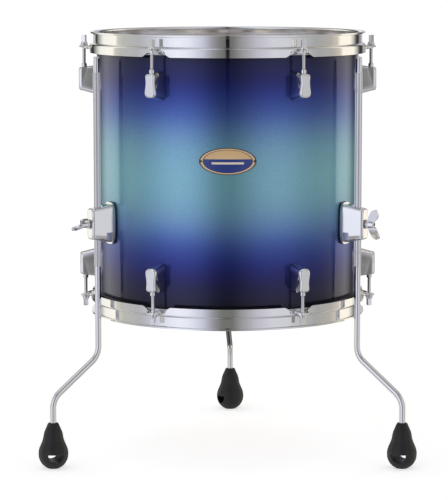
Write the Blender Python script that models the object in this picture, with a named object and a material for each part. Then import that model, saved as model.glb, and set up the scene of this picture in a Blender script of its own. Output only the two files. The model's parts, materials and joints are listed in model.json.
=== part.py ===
"""A 16 by 16 inch floor tom on three legs, with six tension rods to a head. Metres, +Z up.

The origin is on the floor, at the middle of the object's bounding box. The drum's own axis
is upright and stands a little in front of it, because one leg reaches to the rear.
A bearing is an angle about the drum's axis: 0 faces the front (-Y), 90 faces +X.
"""

import math

import bmesh
import bpy
from mathutils import Matrix, Vector

# ---- Driving dimensions -------------------------------------------------------------------
SHELL_DIAMETER = 0.403
SHELL_DEPTH = 0.406
SHELL_WALL = 0.0054
FLOOR_TO_SHELL = 0.2316
LUG_BEARINGS = (-150, -90, -30, 30, 90, 150)
LEG_BEARINGS = {"left": -60, "right": 60, "rear": 180}
FIT_GAP = 0.0003
RING_SEGMENTS = 48
ROUND_SEGMENTS = 12
FINE_SEGMENTS = 8

# Heads: a film that runs over the bearing edge, and the ring that it is crimped into.
FILM_THICKNESS = 0.0003
FILM_COLLAR = 0.015
FLESH_HOOP_WIDTH = 0.0059
FLESH_HOOP_HEIGHT = 0.009

# Hoops: 2.3 mm steel, flanged three times.
HOOP_METAL = 0.0023
HOOP_RISE = 0.0131
HOOP_LIP = 0.0047
HOOP_SKIRT = 0.0123
SHOULDER_DROP = 0.0066
EAR_DROP = 0.0093
EAR_REACH = 0.0088
EAR_HALF_WIDTH = 0.0150

# Tension rods and lugs.
ROD_DIAMETER = 0.0055
ROD_OFFSET = 0.0192
ROD_KEY_SIZE = 0.0063
ROD_KEY_HEIGHT = 0.0104
ROD_FLANGE_DIAMETER = 0.0110
ROD_FLANGE_HEIGHT = 0.0038
ROD_WASHER_DIAMETER = 0.0130
ROD_WASHER_HEIGHT = 0.0020
LUG_EDGE_DISTANCE = 0.0421
LUG_HEIGHT = 0.0355
LUG_REACH = 0.0281
LUG_WIDTH = 0.0160
LUG_NUT_DIAMETER = 0.0084
LUG_NUT_RISE = 0.0059
SCREW_DIAMETER = 0.0050

# Legs, their brackets and clamps.
LEG_BEHIND_FACE = 0.0130
LEG_DIAMETER = 0.0095
LEG_GRIP_DIAMETER = 0.0108
LEG_TOP = 0.6166
LEG_GRIP_TOP = 0.5937
LEG_GRIP_BOTTOM = 0.3007
LEG_UPPER_CORNER = 0.1650
LEG_LOWER_CORNER = 0.1050
LEG_SPREAD = 0.0770
LEG_BEND_RADIUS = 0.0300
BRACKET_HEIGHT_ABOVE_FLOOR = 0.3660
BRACKET_HEIGHT = 0.0490
BRACKET_WIDTH = 0.0230
BRACKET_REACH = 0.0375
BRACKET_FLANGE_HEIGHT = 0.0630
BRACKET_FLANGE_WIDTH = 0.0290
BRACKET_FLANGE_THICKNESS = 0.0032
BRACKET_FLARE = 0.0025
# The exponent of the flange's outline: 2 is an ellipse, and higher is squarer.
BRACKET_FLANGE_SQUARENESS = 4.0
GASKET_THICKNESS = 0.0012
BRACKET_BOLT_SPACING = 0.0400
BRACKET_BOLT_DIAMETER = 0.0056
EYE_WALL = 0.0019
EYE_HEIGHT = 0.0080
EYE_TRAVEL = 0.00125
STUD_DIAMETER = 0.0055
WASHER_DIAMETER = 0.0140
WASHER_THICKNESS = 0.0012
WING_NUT_HUB = 0.0127
WING_NUT_REACH = 0.0212
WING_NUT_SPAN = 0.0460
WING_THICKNESS = 0.0040
WING_TURNS = {"left": -64, "right": 8, "rear": 35}
FOOT_DIAMETER = 0.0466
FOOT_HEIGHT = 0.0690
FOOT_PAD_DIAMETER = 0.0180
FOOT_SOCKET_FLOOR = 0.0290
FOOT_SLOT_WIDTH = 0.0236
FOOT_SLOT_TOP = 0.0235
FOOT_SLOT_HEIGHT = 0.0130
FOOT_TURNS = {"left": -14, "right": 9, "rear": 32}
LEG_TURNS = {"left": 0.0, "right": 0.0, "rear": -3.7}

# Badge and vent.
BADGE_WIDTH = 0.0844
BADGE_HEIGHT = 0.0396
BADGE_THICKNESS = 0.0008
BADGE_ABOVE_MIDDLE = 0.0334
VENT_BEARING = 120
VENT_BORE = 0.0090
VENT_TUBE = 0.0120
VENT_FLANGE = 0.0190

# ---- Sizes that follow from them ----------------------------------------------------------
SHELL_RADIUS = SHELL_DIAMETER / 2
SHELL_INSIDE = SHELL_RADIUS - SHELL_WALL
SHELL_TOP = FLOOR_TO_SHELL + SHELL_DEPTH
SHELL_MIDDLE = FLOOR_TO_SHELL + SHELL_DEPTH / 2
FILM_INSIDE = SHELL_RADIUS + 0.0008
FLESH_HOOP_INSIDE = FILM_INSIDE + FILM_THICKNESS + 0.0004
FLESH_HOOP_OUTSIDE = FLESH_HOOP_INSIDE + FLESH_HOOP_WIDTH
HOOP_WALL_INSIDE = FLESH_HOOP_INSIDE + 0.0015
HOOP_WALL_OUTSIDE = HOOP_WALL_INSIDE + HOOP_METAL
SKIRT_INSIDE = FLESH_HOOP_OUTSIDE + 0.0009
SKIRT_OUTSIDE = SKIRT_INSIDE + HOOP_METAL
ROD_CIRCLE = SHELL_RADIUS + ROD_OFFSET
LEG_OFFSET = BRACKET_REACH - LEG_BEHIND_FACE
LEG_CIRCLE = SHELL_RADIUS + LEG_OFFSET
FOOT_CIRCLE = LEG_CIRCLE + LEG_SPREAD
BRACKET_BACK = GASKET_THICKNESS + 2 * FIT_GAP
INSIDE_SEAT = -(SHELL_WALL + 0.0005)
# The rear foot and the front of the hoops set the bounding box's two ends along Y.
DRUM_AXIS_Y = -(FOOT_CIRCLE + FOOT_DIAMETER / 2 - SKIRT_OUTSIDE) / 2


# ---- Modelling helpers --------------------------------------------------------------------
def clear_scene():
    for obj in list(bpy.data.objects):
        bpy.data.objects.remove(obj)


def material(name, colour, roughness, metallic=0.0, alpha=1.0):
    made = bpy.data.materials.new(name)
    made.use_nodes = True
    shader = made.node_tree.nodes["Principled BSDF"]
    shader.inputs["Base Color"].default_value = (*colour, 1.0)
    shader.inputs["Roughness"].default_value = roughness
    shader.inputs["Metallic"].default_value = metallic
    shader.inputs["Alpha"].default_value = alpha
    return made


def mesh_of(bm):
    """The bmesh as a mesh whose faces point out, smooth but for its real edges."""
    bmesh.ops.recalc_face_normals(bm, faces=bm.faces)
    mesh = bpy.data.meshes.new("piece")
    bm.to_mesh(mesh)
    bm.free()
    mesh.shade_smooth()
    mesh.set_sharp_from_angle(angle=math.radians(35))
    return mesh


def turned(profile, segments, along=None):
    """A solid turned about Z from (radius, height) points, or about X with along="X".

    A profile that starts on the axis also ends on it. Any other is a closed loop.
    """
    bm = bmesh.new()
    verts = [bm.verts.new((radius, 0, height)) for radius, height in profile]
    edges = [bm.edges.new(pair) for pair in zip(verts, verts[1:])]
    if profile[0][0] > 0:
        edges.append(bm.edges.new((verts[-1], verts[0])))
    bmesh.ops.spin(
        bm,
        geom=verts + edges,
        axis=(0, 0, 1),
        cent=(0, 0, 0),
        angle=2 * math.pi,
        steps=segments,
        use_merge=True,
    )
    bmesh.ops.remove_doubles(bm, verts=bm.verts, dist=1e-7)
    if along == "X":
        bmesh.ops.rotate(bm, verts=bm.verts, matrix=Matrix.Rotation(math.pi / 2, 3, "Y"))
    return mesh_of(bm)


def cylinder(radius, low, high, segments=FINE_SEGMENTS, along=None, centre=(0, 0, 0)):
    mesh = turned([(0, low), (radius, low), (radius, high), (0, high)], segments, along)
    mesh.transform(Matrix.Translation(centre))
    return mesh


def around(radius, segments):
    """The corner radius of a hole that clears a round of this radius on all its flats."""
    return radius / math.cos(math.pi / segments)


def prism(outline, along, bevel_where=None, bevel=0.0, bevel_segments=3):
    """The outline, a ring of 3-D points, swept along a vector. Chosen edges are rounded."""
    bm = bmesh.new()
    face = bm.faces.new([bm.verts.new(point) for point in outline])
    made = bmesh.ops.extrude_face_region(bm, geom=[face])
    swept = [part for part in made["geom"] if isinstance(part, bmesh.types.BMVert)]
    bmesh.ops.translate(bm, verts=swept, vec=along)
    if bevel_where:
        edges = [edge for edge in bm.edges if bevel_where(*[vert.co for vert in edge.verts])]
        bmesh.ops.bevel(
            bm, geom=edges, offset=bevel, segments=bevel_segments, profile=0.5, affect="EDGES"
        )
    return mesh_of(bm)


def joined(meshes):
    """Meshes that don't touch, as one mesh. It serves as a Boolean's tool."""
    bm = bmesh.new()
    for mesh in meshes:
        bm.from_mesh(mesh)
    return mesh_of(bm)


def repeated(mesh, bearings):
    """Copies of a mesh that points along +X, at these bearings about the drum's axis."""
    copies = []
    for bearing in bearings:
        copy = mesh.copy()
        copy.transform(Matrix.Rotation(turn_of(bearing), 4, "Z"))
        copies.append(copy)
    return joined(copies)


def boolean(mesh, steps):
    """The mesh after Booleans, each an (operation, tool mesh) pair, in that order."""
    base = bpy.data.objects.new("base", mesh)
    bpy.context.collection.objects.link(base)
    tools = []
    for operation, tool in steps:
        obj = bpy.data.objects.new("tool", tool)
        bpy.context.collection.objects.link(obj)
        modifier = base.modifiers.new(operation.lower(), "BOOLEAN")
        modifier.operation = operation
        modifier.object = obj
        tools.append(obj)
    graph = bpy.context.evaluated_depsgraph_get()
    result = bpy.data.meshes.new_from_object(base.evaluated_get(graph))
    for obj in [base, *tools]:
        bpy.data.objects.remove(obj)
    result.shade_smooth()
    result.set_sharp_from_angle(angle=math.radians(35))
    return result


def turn_of(bearing):
    """The turn about Z that points +X at a bearing."""
    return math.radians(bearing - 90)


def place(name, mesh, look, bearing=90, radius=0.0, height=0.0, turn=0.0, upside_down=False):
    """The mesh as a named piece: its +X at the bearing, its origin at that radius and height.

    turn is about the piece's own +X, in degrees.
    """
    shown = mesh.copy()
    shown.materials.clear()
    shown.materials.append(look)
    obj = bpy.data.objects.new(name, shown)
    bpy.context.collection.objects.link(obj)
    heading = turn_of(bearing)
    obj.parent = DRUM_AXIS
    obj.location = (radius * math.cos(heading), radius * math.sin(heading), height)
    obj.rotation_euler = (math.radians(turn) + (math.pi if upside_down else 0.0), 0, heading)
    return obj


# ---- Shell --------------------------------------------------------------------------------
def shell_mesh():
    """Six-ply tube with a bearing edge cut at each end, drilled for its fittings."""
    half = SHELL_DEPTH / 2
    edge_radius = SHELL_RADIUS - 0.0015
    inner_cut = edge_radius - SHELL_INSIDE
    upper = [
        (SHELL_INSIDE, half - inner_cut),
        (edge_radius, half),
        (SHELL_RADIUS, half - 0.0015),
    ]
    lower = [(radius, -height) for radius, height in reversed(upper)]
    tube = turned(lower + upper, RING_SEGMENTS)
    return boolean(tube, [("DIFFERENCE", shell_drilling())])


def radial_drill(diameter, bearing, height):
    low, high = SHELL_INSIDE - 0.01, SHELL_RADIUS + 0.01
    drill = cylinder(diameter / 2, low, high, FINE_SEGMENTS, "X", (0, 0, height))
    drill.transform(Matrix.Rotation(turn_of(bearing), 4, "Z"))
    return drill


def shell_drilling():
    """All the holes through the shell, as one Boolean tool. Heights are from its middle."""
    lug_height = SHELL_DEPTH / 2 - LUG_EDGE_DISTANCE - LUG_HEIGHT / 2
    bracket_height = BRACKET_HEIGHT_ABOVE_FLOOR - SHELL_MIDDLE
    bolt_rise = BRACKET_BOLT_SPACING / 2
    drills = [radial_drill(VENT_TUBE + 4 * FIT_GAP, VENT_BEARING, 0)]
    for bearing in LUG_BEARINGS:
        for height in (-lug_height, lug_height):
            drills.append(radial_drill(SCREW_DIAMETER + 0.0012, bearing, height))
    for bearing in LEG_BEARINGS.values():
        for height in (bracket_height - bolt_rise, bracket_height + bolt_rise):
            drills.append(radial_drill(BRACKET_BOLT_DIAMETER + 0.0012, bearing, height))
    return joined(drills)


# ---- Heads. Heights are from the bearing edge, for the upper head. --------------------------
def film_mesh():
    """Clear film, flat over the drum and turned down round the shell's edge."""
    rest, skin = FIT_GAP, FILM_THICKNESS
    edge = SHELL_RADIUS - 0.0015
    under = [
        (0, rest),
        (edge - 0.0010, rest),
        (edge + 0.0012, rest - 0.0003),
        (FILM_INSIDE - 0.0002, -0.0013),
        (FILM_INSIDE, -0.0030),
        (FILM_INSIDE, -FILM_COLLAR),
    ]
    over = [
        (FILM_INSIDE + skin, -FILM_COLLAR),
        (FILM_INSIDE + skin, -0.0030),
        (FILM_INSIDE + skin - 0.0002, -0.0011),
        (edge + 0.0015, rest + skin - 0.0002),
        (edge - 0.0008, rest + skin),
        (0, rest + skin),
    ]
    return turned(under + over, RING_SEGMENTS)


def flesh_hoop_mesh():
    """Aluminium ring that holds the film, pressed down by the hoop's shoulder."""
    top = -SHOULDER_DROP - FIT_GAP
    return turned(
        [
            (FLESH_HOOP_INSIDE, top - FLESH_HOOP_HEIGHT),
            (FLESH_HOOP_OUTSIDE, top - FLESH_HOOP_HEIGHT),
            (FLESH_HOOP_OUTSIDE, top),
            (FLESH_HOOP_INSIDE, top),
        ],
        RING_SEGMENTS,
    )


# ---- Hoops. Heights are from the bearing edge, for the upper hoop. --------------------------
def hoop_mesh():
    """Rolled lip, upright wall, shoulder and skirt, with an ear at each tension rod."""
    metal = HOOP_METAL
    shoulder_top = -SHOULDER_DROP + metal
    skirt_bottom = -SHOULDER_DROP - HOOP_SKIRT
    lip = HOOP_WALL_OUTSIDE + HOOP_LIP
    section = [
        (SKIRT_INSIDE, skirt_bottom),
        (SKIRT_INSIDE, -SHOULDER_DROP),
        (HOOP_WALL_INSIDE, -SHOULDER_DROP),
        (HOOP_WALL_INSIDE, HOOP_RISE - 0.0022),
        (HOOP_WALL_INSIDE + 0.0022, HOOP_RISE),
        (lip - 0.0006, HOOP_RISE),
        (lip, HOOP_RISE - metal / 2),
        (lip - 0.0006, HOOP_RISE - metal),
        (HOOP_WALL_OUTSIDE, HOOP_RISE - metal - 0.0008),
        (HOOP_WALL_OUTSIDE, shoulder_top + 0.0003),
        (SKIRT_OUTSIDE - 0.0020, shoulder_top - 0.0004),
        (SKIRT_OUTSIDE, shoulder_top - 0.0032),
        (SKIRT_OUTSIDE, skirt_bottom),
    ]
    steps = [
        ("DIFFERENCE", repeated(ear_notch(skirt_bottom), LUG_BEARINGS)),
        ("UNION", repeated(ear_plate(), LUG_BEARINGS)),
        ("DIFFERENCE", repeated(ear_hole(), LUG_BEARINGS)),
    ]
    return boolean(turned(section, RING_SEGMENTS), steps)


def ear_plate():
    """The tab that the tension rod pulls on, folded out of the skirt."""
    root = (SKIRT_INSIDE + SKIRT_OUTSIDE) / 2 - 0.0003
    tip = ROD_CIRCLE + EAR_REACH
    half = EAR_HALF_WIDTH
    side = [(root, half), (tip - 0.0085, 0.70 * half), (tip - 0.0030, 0.53 * half)]
    side.append((tip, 0.23 * half))
    outline = side + [(x, -y) for x, y in reversed(side)]
    low = -EAR_DROP - HOOP_METAL
    return prism([(x, y, low) for x, y in outline], (0, 0, HOOP_METAL))


def ear_notch(skirt_bottom):
    """The gap that folding the ear out leaves in the skirt's lower edge."""
    half = EAR_HALF_WIDTH
    low, high = skirt_bottom - 0.001, -EAR_DROP - 0.7 * HOOP_METAL
    outline = [(-0.93 * half, low), (0.93 * half, low), (0.6 * half, high), (-0.6 * half, high)]
    inside = SKIRT_INSIDE - 0.003
    return prism([(inside, y, z) for y, z in outline], (SKIRT_OUTSIDE - inside + 0.002, 0, 0))


def ear_hole():
    low, high = -EAR_DROP - 2 * HOOP_METAL, -EAR_DROP + HOOP_METAL
    return cylinder(ROD_DIAMETER / 2 + 0.0006, low, high, centre=(ROD_CIRCLE, 0, 0))


# ---- Tension rods. Heights are from the bearing edge, for an upper rod. ---------------------
def tension_rod_mesh():
    """Key head, flange, washer and shank in one. The shank screws down into the lug's nut."""
    seat = -EAR_DROP + FIT_GAP
    washer_top = seat + ROD_WASHER_HEIGHT
    flange_top = washer_top + ROD_FLANGE_HEIGHT
    shank_end = -LUG_EDGE_DISTANCE - 0.78 * LUG_HEIGHT
    shank = ROD_DIAMETER / 2
    turned_part = turned(
        [
            (0, shank_end),
            (shank - 0.0007, shank_end),
            (shank, shank_end + 0.0010),
            (shank, seat),
            (ROD_WASHER_DIAMETER / 2, seat),
            (ROD_WASHER_DIAMETER / 2, washer_top),
            (ROD_FLANGE_DIAMETER / 2, washer_top),
            (ROD_FLANGE_DIAMETER / 2, flange_top - 0.0008),
            (ROD_KEY_SIZE / 2, flange_top),
            (0, flange_top),
        ],
        FINE_SEGMENTS,
    )
    half = ROD_KEY_SIZE / 2
    base = flange_top - 0.0010
    corners = [(half, half, base), (-half, half, base), (-half, -half, base), (half, -half, base)]
    key = prism(corners, (0, 0, ROD_KEY_HEIGHT + 0.0010))
    return boolean(turned_part, [("UNION", key)])


# ---- Lugs. +X points away from the shell, whose surface is X 0. Z 0 is the rod end. ----------
def lug_mesh():
    """Cast lug with a V-shaped flute in each flank, its nut, and the screw that holds it."""
    reach, height = LUG_REACH, LUG_HEIGHT
    side = [
        (FIT_GAP, 0.0030),
        (0.36 * reach, 0.0005),
        (reach - 0.0026, 0),
        (reach, -0.0015),
        (reach - 0.0012, -height + 0.0020),
        (reach - 0.0031, -height),
        (0.50 * reach, -height - 0.0030),
        (FIT_GAP, -height - 0.0065),
    ]
    half = LUG_WIDTH / 2

    def is_front_corner(a, b):
        return min(a.x, b.x) > reach - 0.0020 and abs(a.y - b.y) < half and abs(a.z - b.z) > 0.005

    body = prism([(x, -half, z) for x, z in side], (0, 2 * half, 0), is_front_corner, 0.0035)
    flute_front = 0.79 * reach
    flute = [(flute_front, -0.73 * height), (flute_front, 0.004), (0.45 * reach, 0.004)]
    depth = half - LUG_NUT_DIAMETER / 2 - 0.0010
    flutes = joined(
        [
            prism([(x, half - depth, z) for x, z in flute], (0, 2 * depth, 0)),
            prism([(x, -half - depth, z) for x, z in flute], (0, 2 * depth, 0)),
        ]
    )
    middle = -height / 2
    bore_floor = -0.78 * height - 0.0020
    at_rod = (ROD_OFFSET, 0, 0)
    bore = around(ROD_DIAMETER / 2 + FIT_GAP, FINE_SEGMENTS)
    return boolean(
        body,
        [
            ("DIFFERENCE", flutes),
            ("UNION", cylinder(LUG_NUT_DIAMETER / 2, -0.004, LUG_NUT_RISE, centre=at_rod)),
            ("DIFFERENCE", cylinder(bore, bore_floor, LUG_NUT_RISE + 0.002, centre=at_rod)),
            ("UNION", inside_bolt_mesh(SCREW_DIAMETER, 0.004, 0.0140, (0, 0, middle))),
        ],
    )


def inside_bolt_mesh(diameter, tip, washer_diameter, centre=(0, 0, 0)):
    """A bolt along X, headed inside the shell. Its tip is at X tip, and it wears a washer."""
    shank = diameter / 2
    washer = INSIDE_SEAT - 0.0014
    head = washer - 0.8 * diameter
    mesh = turned(
        [
            (0, head),
            (0.85 * diameter, head),
            (0.95 * diameter, head + 0.0006),
            (0.95 * diameter, washer),
            (washer_diameter / 2, washer),
            (washer_diameter / 2, INSIDE_SEAT),
            (shank, INSIDE_SEAT),
            (shank, tip),
            (0, tip),
        ],
        FINE_SEGMENTS,
        "X",
    )
    mesh.transform(Matrix.Translation(centre))
    return mesh


# ---- Leg brackets. +X points away from the shell. Z 0 is the bracket's middle. ---------------
def eye_hole_radius():
    """The eye's hole lets the leg stand clear of it all round when the nut is backed off."""
    return (LEG_GRIP_DIAMETER + EYE_TRAVEL) / 2 + FIT_GAP + 0.0001


def eye_centre():
    """At rest the eye is drawn outwards until its inner side is up against the leg."""
    return LEG_OFFSET + eye_hole_radius() - LEG_GRIP_DIAMETER / 2 - FIT_GAP


def flange_outline(x):
    """The outline of the bracket's flange, a superellipse, at a distance x from the shell."""
    points = []
    for step in range(32):
        angle = 2 * math.pi * step / 32
        across, up = math.cos(angle), math.sin(angle)
        reach = (abs(across) ** BRACKET_FLANGE_SQUARENESS + abs(up) ** BRACKET_FLANGE_SQUARENESS) ** (
            -1 / BRACKET_FLANGE_SQUARENESS
        )
        y, z = BRACKET_FLANGE_WIDTH / 2 * across * reach, BRACKET_FLANGE_HEIGHT / 2 * up * reach
        points.append((x, y, z))
    return points


def bracket_mesh():
    """Cast bracket: upright bore for the leg, a pocket for the eye, and a rounded flange."""
    half, width, reach = BRACKET_HEIGHT / 2, BRACKET_WIDTH / 2, BRACKET_REACH
    back = BRACKET_BACK
    side = [
        (back + 0.001, -half - BRACKET_FLARE),
        (reach - 0.0040, -half),
        (reach - 0.0010, -half + 0.0035),
        (reach, -0.4 * half),
        (reach, 0.4 * half),
        (reach - 0.0010, half - 0.0035),
        (reach - 0.0040, half),
        (back + 0.001, half + BRACKET_FLARE),
    ]

    def is_outer_corner(a, b):
        return min(a.x, b.x) > reach - 0.0020 and abs(a.y - b.y) < width

    body = prism([(x, -width, z) for x, z in side], (0, 2 * width, 0), is_outer_corner, 0.0035)
    flange = prism(flange_outline(back), (BRACKET_FLANGE_THICKNESS, 0, 0))
    leg_bore = around(LEG_GRIP_DIAMETER / 2 + FIT_GAP, ROUND_SEGMENTS)
    tall = BRACKET_HEIGHT
    eye_radius = eye_hole_radius() + EYE_WALL
    pocket_width = eye_radius + 0.0006
    pocket_height = EYE_HEIGHT / 2 + 0.0010
    pocket_end = eye_centre() + eye_radius + 0.0005
    pocket = [
        (-0.001, y, z)
        for y, z in (
            (-pocket_width, -pocket_height),
            (pocket_width, -pocket_height),
            (pocket_width, pocket_height),
            (-pocket_width, pocket_height),
        )
    ]
    stud_bore = around(STUD_DIAMETER / 2 + 2 * FIT_GAP, FINE_SEGMENTS)
    bolt_bore = around(BRACKET_BOLT_DIAMETER / 2 + FIT_GAP, FINE_SEGMENTS)
    bolt_end = 0.5 * (LEG_OFFSET - leg_bore) + 0.0020
    rise = BRACKET_BOLT_SPACING / 2
    bolts = [
        cylinder(bolt_bore, -0.001, bolt_end, FINE_SEGMENTS, "X", (0, 0, z)) for z in (-rise, rise)
    ]
    return boolean(
        body,
        [
            ("UNION", flange),
            ("DIFFERENCE", cylinder(leg_bore, -tall, tall, ROUND_SEGMENTS, centre=(LEG_OFFSET, 0, 0))),
            ("DIFFERENCE", prism(pocket, (pocket_end + 0.001, 0, 0))),
            ("DIFFERENCE", cylinder(stud_bore, LEG_OFFSET, reach + 0.01, FINE_SEGMENTS, "X")),
            ("DIFFERENCE", joined(bolts)),
        ],
    )


def gasket_mesh():
    """Rubber sheet under the bracket's flange, with a window and two bolt holes."""
    rise = BRACKET_BOLT_SPACING / 2
    hole = around(BRACKET_BOLT_DIAMETER / 2 + FIT_GAP, FINE_SEGMENTS)
    sheet = prism(flange_outline(FIT_GAP), (GASKET_THICKNESS, 0, 0))
    holes = joined([cylinder(hole, -0.01, 0.01, FINE_SEGMENTS, "X", (0, 0, z)) for z in (-rise, rise)])
    return boolean(sheet, [("DIFFERENCE", holes)])


def bracket_bolt_mesh():
    tip = 0.5 * (LEG_OFFSET - LEG_GRIP_DIAMETER / 2) + 0.0008
    return inside_bolt_mesh(BRACKET_BOLT_DIAMETER, tip, 0.0150)


def eye_bolt_mesh():
    """An eye round the leg, with a threaded stud that comes out through the bracket."""
    hole = around(eye_hole_radius(), ROUND_SEGMENTS)
    outside = eye_hole_radius() + EYE_WALL
    half = EYE_HEIGHT / 2
    eye = turned([(hole, -half), (outside, -half), (outside, half), (hole, half)], ROUND_SEGMENTS)
    stud_start = outside - 0.5 * EYE_WALL
    stud_end = BRACKET_REACH + WASHER_THICKNESS + WING_NUT_HUB - eye_centre() - 0.0015
    stud = cylinder(STUD_DIAMETER / 2, stud_start, stud_end, FINE_SEGMENTS, "X")
    return boolean(eye, [("UNION", stud)])


def washer_mesh():
    hole = around(STUD_DIAMETER / 2 + FIT_GAP, FINE_SEGMENTS)
    rim, thick = WASHER_DIAMETER / 2, WASHER_THICKNESS
    return turned([(hole, 0), (rim, 0), (rim, thick), (hole, thick)], FINE_SEGMENTS, "X")


def wing_nut_mesh():
    """Hub with two swept wings. X 0 is the face that bears on the washer."""
    hub = turned(
        [(0, 0), (0.0064, 0), (0.0060, 0.0030), (0.0048, WING_NUT_HUB), (0, WING_NUT_HUB)],
        FINE_SEGMENTS,
        "X",
    )
    half_span, reach = WING_NUT_SPAN / 2, WING_NUT_REACH
    wing = [
        (0.10 * reach, 0.0040),
        (0.24 * reach, 0.55 * half_span),
        (0.40 * reach, 0.88 * half_span),
        (0.60 * reach, half_span),
        (0.86 * reach, 0.97 * half_span),
        (reach, 0.80 * half_span),
        (0.92 * reach, 0.50 * half_span),
        (0.72 * reach, 0.16 * half_span),
    ]
    outline = wing + [(x, -z) for x, z in reversed(wing)]
    thin = WING_THICKNESS / 2
    wings = prism([(x, -thin, z) for x, z in outline], (0, 2 * thin, 0))
    bore = around(STUD_DIAMETER / 2 + FIT_GAP, FINE_SEGMENTS)
    through = cylinder(bore, -0.01, WING_NUT_REACH + 0.01, FINE_SEGMENTS, "X")
    return boolean(hub, [("UNION", wings), ("DIFFERENCE", through)])


# ---- Legs. Z is the height above the floor, and X 0 is the axis that the leg slides on. ------
def rounded_path(corners, radius, steps):
    """The corners' polyline with each inner corner replaced by an arc."""
    points = [corners[0]]
    for before, corner, after in zip(corners, corners[1:], corners[2:]):
        come, go = (corner - before).normalized(), (after - corner).normalized()
        bend = come.angle(go)
        cut = radius * math.tan(bend / 2)
        inward = (go - come).normalized()
        centre = corner + inward * radius / math.cos(bend / 2)
        start = corner - come * cut - centre
        axis = come.cross(go).normalized()
        for step in range(steps + 1):
            points.append(centre + Matrix.Rotation(bend * step / steps, 3, axis) @ start)
    points.append(corners[-1])
    return points


def leg_mesh():
    """Bent steel rod with a straight-knurled grip where the bracket clamps it."""
    corners = [
        Vector((0, 0, LEG_TOP)),
        Vector((0, 0, LEG_UPPER_CORNER)),
        Vector((LEG_SPREAD, 0, LEG_LOWER_CORNER)),
        Vector((LEG_SPREAD, 0, FOOT_SOCKET_FLOOR + FIT_GAP)),
    ]
    path = rounded_path(corners, LEG_BEND_RADIUS, 5)
    curve = bpy.data.curves.new("leg", "CURVE")
    curve.dimensions = "3D"
    curve.bevel_depth = LEG_DIAMETER / 2
    curve.bevel_resolution = 4
    curve.use_fill_caps = True
    spline = curve.splines.new("POLY")
    spline.points.add(len(path) - 1)
    for point, place_at in zip(spline.points, path):
        point.co = (*place_at, 1)
    holder = bpy.data.objects.new("leg", curve)
    bpy.context.collection.objects.link(holder)
    graph = bpy.context.evaluated_depsgraph_get()
    rod = bpy.data.meshes.new_from_object(holder.evaluated_get(graph))
    bpy.data.objects.remove(holder)
    bm = bmesh.new()
    bm.from_mesh(rod)
    bmesh.ops.remove_doubles(bm, verts=bm.verts, dist=1e-6)
    return boolean(mesh_of(bm), [("UNION", grip_mesh())])


def grip_mesh():
    """The knurled length: a toothed outline swept upwards."""
    teeth = 12
    outline = []
    for step in range(2 * teeth):
        radius = LEG_GRIP_DIAMETER / 2 - (0.0004 if step % 2 else 0)
        angle = math.pi * step / teeth
        outline.append((radius * math.cos(angle), radius * math.sin(angle), LEG_GRIP_BOTTOM))
    return prism(outline, (0, 0, LEG_GRIP_TOP - LEG_GRIP_BOTTOM))


def foot_mesh():
    """Pear-shaped rubber foot, hollowed by a cross slot so that it gives under load."""
    wide, pad = FOOT_DIAMETER / 2, FOOT_PAD_DIAMETER / 2
    socket = around(LEG_DIAMETER / 2 + FIT_GAP, ROUND_SEGMENTS)
    tall = FOOT_HEIGHT
    profile = [
        (0, 0),
        (pad, 0),
        (0.57 * wide, 0.035 * tall),
        (0.82 * wide, 0.135 * tall),
        (0.94 * wide, 0.230 * tall),
        (wide, 0.330 * tall),
        (0.95 * wide, 0.425 * tall),
        (0.76 * wide, 0.585 * tall),
        (0.67 * wide, 0.680 * tall),
        (0.62 * wide, 0.770 * tall),
        (0.42 * wide, 0.940 * tall),
        (0.34 * wide, tall),
        (socket, tall),
        (socket, FOOT_SOCKET_FLOOR),
        (0, FOOT_SOCKET_FLOOR),
    ]
    half, top = FOOT_SLOT_WIDTH / 2, FOOT_SLOT_TOP
    slot = [(-half, top), (half, top)]
    for step in range(1, 6):
        angle = math.pi * step / 6
        slot.append((half * math.cos(angle), top - FOOT_SLOT_HEIGHT * math.sin(angle)))
    through = prism([(-FOOT_DIAMETER, y, z) for y, z in slot], (2 * FOOT_DIAMETER, 0, 0))
    return boolean(turned(profile, ROUND_SEGMENTS), [("DIFFERENCE", through)])


# ---- Badge and vent ------------------------------------------------------------------------
def badge_mesh():
    """Thin oval plate, bent to the shell. X is outwards from the drum's axis."""
    across, upright = 10, 4
    bm = bmesh.new()
    bmesh.ops.create_grid(bm, x_segments=across, y_segments=upright, size=1.0)
    for vert in bm.verts:
        # A square grid drawn out to the ellipse that touches its four sides.
        x, y = vert.co.x, vert.co.y
        vert.co.x = x * math.sqrt(1 - y * y / 2) * BADGE_WIDTH / 2
        vert.co.y = y * math.sqrt(1 - x * x / 2) * BADGE_HEIGHT / 2
    made = bmesh.ops.extrude_face_region(bm, geom=bm.faces[:])
    raised = {part for part in made["geom"] if isinstance(part, bmesh.types.BMVert)}
    for vert in bm.verts:
        lift = BADGE_THICKNESS if vert in raised else 0.0
        radius = SHELL_RADIUS + FIT_GAP + lift
        angle = vert.co.x / SHELL_RADIUS
        vert.co = (radius * math.cos(angle), radius * math.sin(angle), vert.co.y)
    return mesh_of(bm)


def vent_mesh():
    """Grommet that lets air out of the drum: a tube through the shell, flanged at both ends."""
    bore, tube, flange = VENT_BORE / 2, VENT_TUBE / 2, VENT_FLANGE / 2
    inside = INSIDE_SEAT - 0.0002
    profile = [
        (bore, inside - 0.0012),
        (0.8 * flange, inside - 0.0012),
        (0.8 * flange, inside),
        (tube, inside),
        (tube, FIT_GAP),
        (flange, FIT_GAP),
        (flange - 0.0010, 0.0018),
        (bore + 0.0010, 0.0022),
        (bore, 0.0012),
    ]
    return turned(profile, ROUND_SEGMENTS, "X")


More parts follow.
